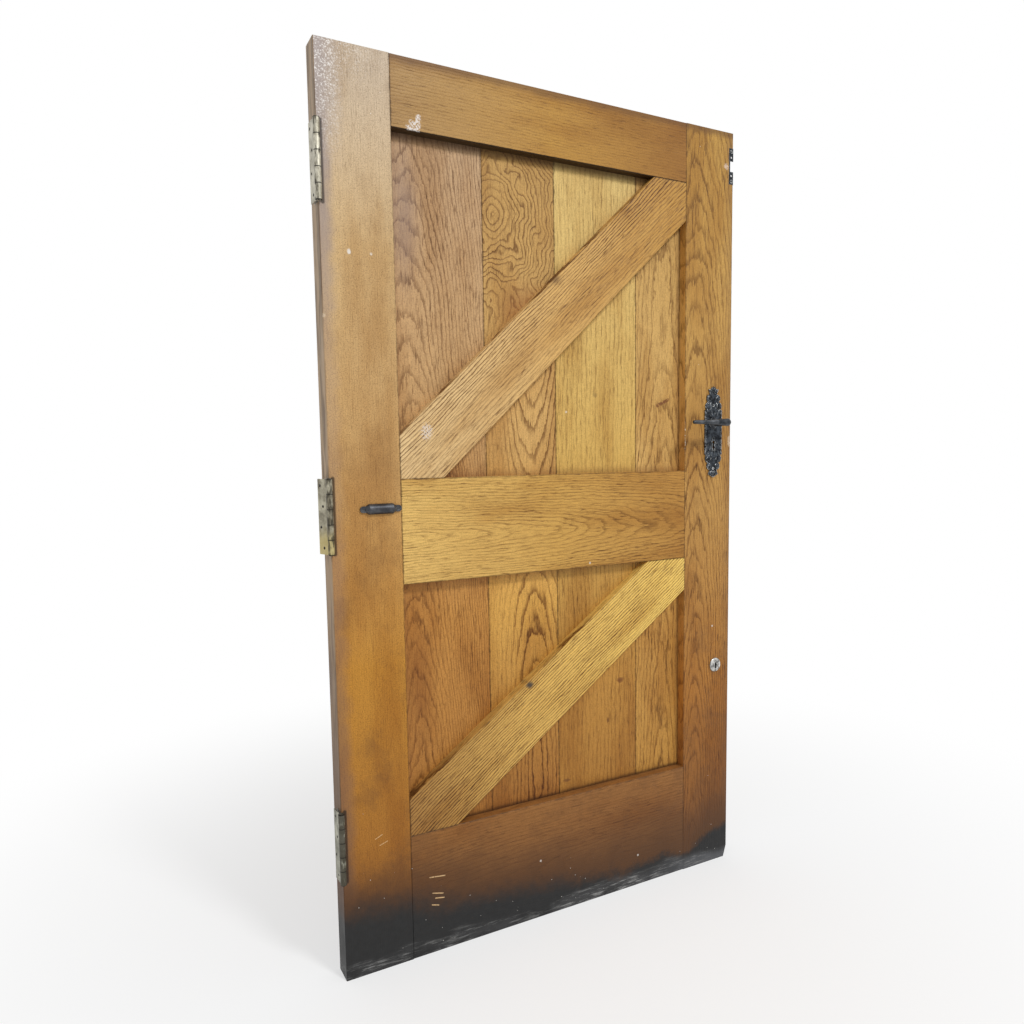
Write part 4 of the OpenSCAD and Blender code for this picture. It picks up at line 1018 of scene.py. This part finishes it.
# Raised petals of a plate, in millimetres from the middle of its lower tip:
# place across, place up, length, width, lean in degrees and height
PETALS = [
    (16.3, 51.4, 19, 15, -25, 2.2), (12.8, 30.4, 15, 12, -40, 2.0), (16.3, 190.6, 19, 15, 25, 2.2),
    (13.8, 211.6, 15, 12, 40, 2.0), (26.5, 121.0, 112, 3.4, 0, 1.3), (5.5, 61.0, 30, 6, -14, 1.8),
    (13.0, 72.0, 26, 6, -32, 1.8), (19.0, 86.0, 20, 5, -48, 1.6), (7.5, 184.0, 34, 7, 10, 1.9),
    (17.0, 174.0, 22, 6, 30, 1.7), (7.0, 12.0, 12, 7, -35, 1.6), (7.5, 231.0, 14, 6, 25, 1.6),
]
SPINE = [(0.0, 234.0, 18, 6, 0, 2.0), (0.0, 10.0, 16, 7, 0, 2.0), (0.0, 104.0, 9, 9, 0, 1.8)]

# Share of a hinge leaf's reach beyond which a corner belongs to its outer edge
OUTER_EDGE = 0.97


def add_oval(shape, place, turn, half_sizes, segments, rings):
    """Adds a squashed ball to a mesh in the making."""
    matrix = Matrix.Translation(place) @ turn @ Matrix.Diagonal((*half_sizes, 1))
    bmesh.ops.create_uvsphere(shape, u_segments=segments, v_segments=rings, radius=1.0, matrix=matrix)


def add_object(name, shape, material):
    """Puts a finished mesh into the scene."""
    mesh = bpy.data.meshes.new(name)
    shape.to_mesh(mesh)
    shape.free()
    mesh.materials.append(material)
    made = bpy.data.objects.new(name, mesh)
    bpy.context.scene.collection.objects.link(made)
    return made


def plate_relief(plate):
    """Leaves and beads hammered up from a plate, as low half-sunk ovals."""
    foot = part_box(plate)[0].z
    middle = centre(plate)
    face = FRONT_Y - PLATE_T if middle.y < 0 else BACK_Y + PLATE_T
    shape = bmesh.new()
    mirrored = [(-x, z, length, width, -lean, rise) for x, z, length, width, lean, rise in PETALS]
    for x, z, length, width, lean, rise in PETALS + mirrored + SPINE:
        place = (middle.x + x * MM, face, foot + z * MM)
        turn = Matrix.Rotation(radians(lean), 4, "Y")
        half_sizes = (width / 2 * MM, rise * MM, length / 2 * MM)
        add_oval(shape, place, turn, half_sizes, PETAL_SEGMENTS, PETAL_RINGS)
    relief = add_object(plate + "_relief", shape, nodes[plate].material_slots[0].material)
    for polygon in relief.data.polygons:
        polygon.use_smooth = True
    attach(relief, "leaf")


def packed_dirt():
    """Dull dark material of the plugs that stand for painted shade in the hinge holes."""
    g = Painting("packed_dirt")
    lumps = g.noise(g.point, LUMPS_SCALE, detail=3.0)
    colour = g.mix(lumps, HOLE_PLUG_DARK, HOLE_PLUG_LIGHT)
    normal = g.bump(lumps, HOLE_PLUG_RELIEF, strength=1.0)
    return g.surface(colour, HOLE_PLUG_ROUGHNESS, normal)


def hole_shade_plugs(place, material):
    """Dark plugs in the screw holes of a hinge's free leaf, as painted shade seen through the holes."""
    axis = centre(place + "_hinge_pin")
    leaf = nodes[place + "_hinge_frame_leaf"]
    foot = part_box(leaf.name)[0].z
    corners = [Vector((point.co.x - axis.x, point.co.y - axis.y, 0)) for point in leaf.data.vertices]
    corners.sort(key=lambda corner: corner.length)
    outer = [corner for corner in corners if corner.length > OUTER_EDGE * corners[-1].length]
    through = (outer[-1] - outer[0]).normalized()
    along = (outer[-1] - through * outer[-1].dot(through)).normalized()
    turn = through.to_track_quat("Z", "Y").to_matrix().to_4x4()
    shape = bmesh.new()
    for row in range(HINGE_HOLES):
        out = along * HINGE_HOLE_ROWS[row % 2] + through * LEAF_OFFSET
        middle = Vector((axis.x, axis.y, foot + HINGE_HOLE_LOW + row * HINGE_HOLE_STEP)) + out
        half_sizes = (HINGE_HOLE_R, HINGE_HOLE_R, LEAF_OFFSET / 3)
        add_oval(shape, middle, turn, half_sizes, HOLE_SEGMENTS, HOLE_RINGS)
    shade_plugs = add_object(place + "_hinge_hole_shade_plug", shape, material)
    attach(shade_plugs, place + "_frame_leaf")


# Stage

def set_camera():
    data = bpy.data.cameras.new("camera")
    data.lens = CAMERA_LENS_MM
    data.sensor_width = CAMERA_SENSOR_MM
    data.shift_y = CAMERA_SHIFT_Y
    camera = bpy.data.objects.new("camera", data)
    turn = (
        Matrix.Rotation(-CAMERA_AZIMUTH, 4, "Z")
        @ Matrix.Rotation(radians(90) + CAMERA_ELEVATION, 4, "X")
        @ Matrix.Rotation(CAMERA_ROLL, 4, "Z")
    )
    camera.matrix_world = Matrix.Translation(CAMERA_PLACE) @ turn
    bpy.context.scene.collection.objects.link(camera)
    bpy.context.scene.camera = camera


def background_rays(g):
    """1 for rays that see the background directly, in a mirror or through glass."""
    path = g.node("LightPath").outputs
    return g.most(path["Is Camera Ray"], path["Is Glossy Ray"], path["Is Transmission Ray"])


def set_world():
    g = Graph(bpy.data.worlds.new("studio"))
    light = g.node("Background", {"Color": WHITE, "Strength": WORLD_LIGHT})
    white = g.node("Background", {"Color": WHITE, "Strength": 1.0})
    choice = g.node("MixShader", [background_rays(g), light.outputs[0], white.outputs[0]])
    g.node("OutputWorld", {"Surface": choice.outputs[0]})
    bpy.context.scene.world = g.owner


def set_floor():
    """Pale floor that catches the door's shadow and fades into the white background."""
    g = Painting("floor_pale")
    inputs = {
        "Value": g.length(g.point), "From Min": FLOOR_FADE_START, "From Max": FLOOR_FADE_END,
        "To Min": 1 - FLOOR_MATT,
    }
    fade = g.node("MapRange", inputs, interpolation_type="SMOOTHSTEP").outputs["Result"]
    matt = g.node("BsdfDiffuse", {"Color": FLOOR_COLOUR})
    white = g.node("Emission", {"Color": WHITE})
    share = g.product(background_rays(g), fade)
    choice = g.node("MixShader", [share, matt.outputs[0], white.outputs[0]])
    g.node("OutputMaterial", {"Surface": choice.outputs[0]})
    shape = bmesh.new()
    bmesh.ops.create_circle(shape, cap_ends=True, segments=FLOOR_SIDES, radius=FLOOR_RADIUS)
    floor = add_object("floor", shape, g.owner)


def set_key_light():
    data = bpy.data.lights.new("key", "AREA")
    data.shape = "DISK"
    data.size = KEY_LIGHT_SIZE
    data.energy = KEY_LIGHT_POWER
    key = bpy.data.objects.new("key", data)
    key.location = KEY_LIGHT_PLACE
    key.rotation_euler = (KEY_LIGHT_AIM - KEY_LIGHT_PLACE).to_track_quat("-Z", "Y").to_euler()
    bpy.context.scene.collection.objects.link(key)


dress_wood()
dress_metal()
plate_relief("front_plate")
plate_relief("back_plate")
hole_plug_material = packed_dirt()
for hinge in HINGES:
    hole_shade_plugs(hinge, hole_plug_material)
set_camera()
set_world()
set_floor()
set_key_light()
bpy.context.scene.view_settings.view_transform = "Standard"
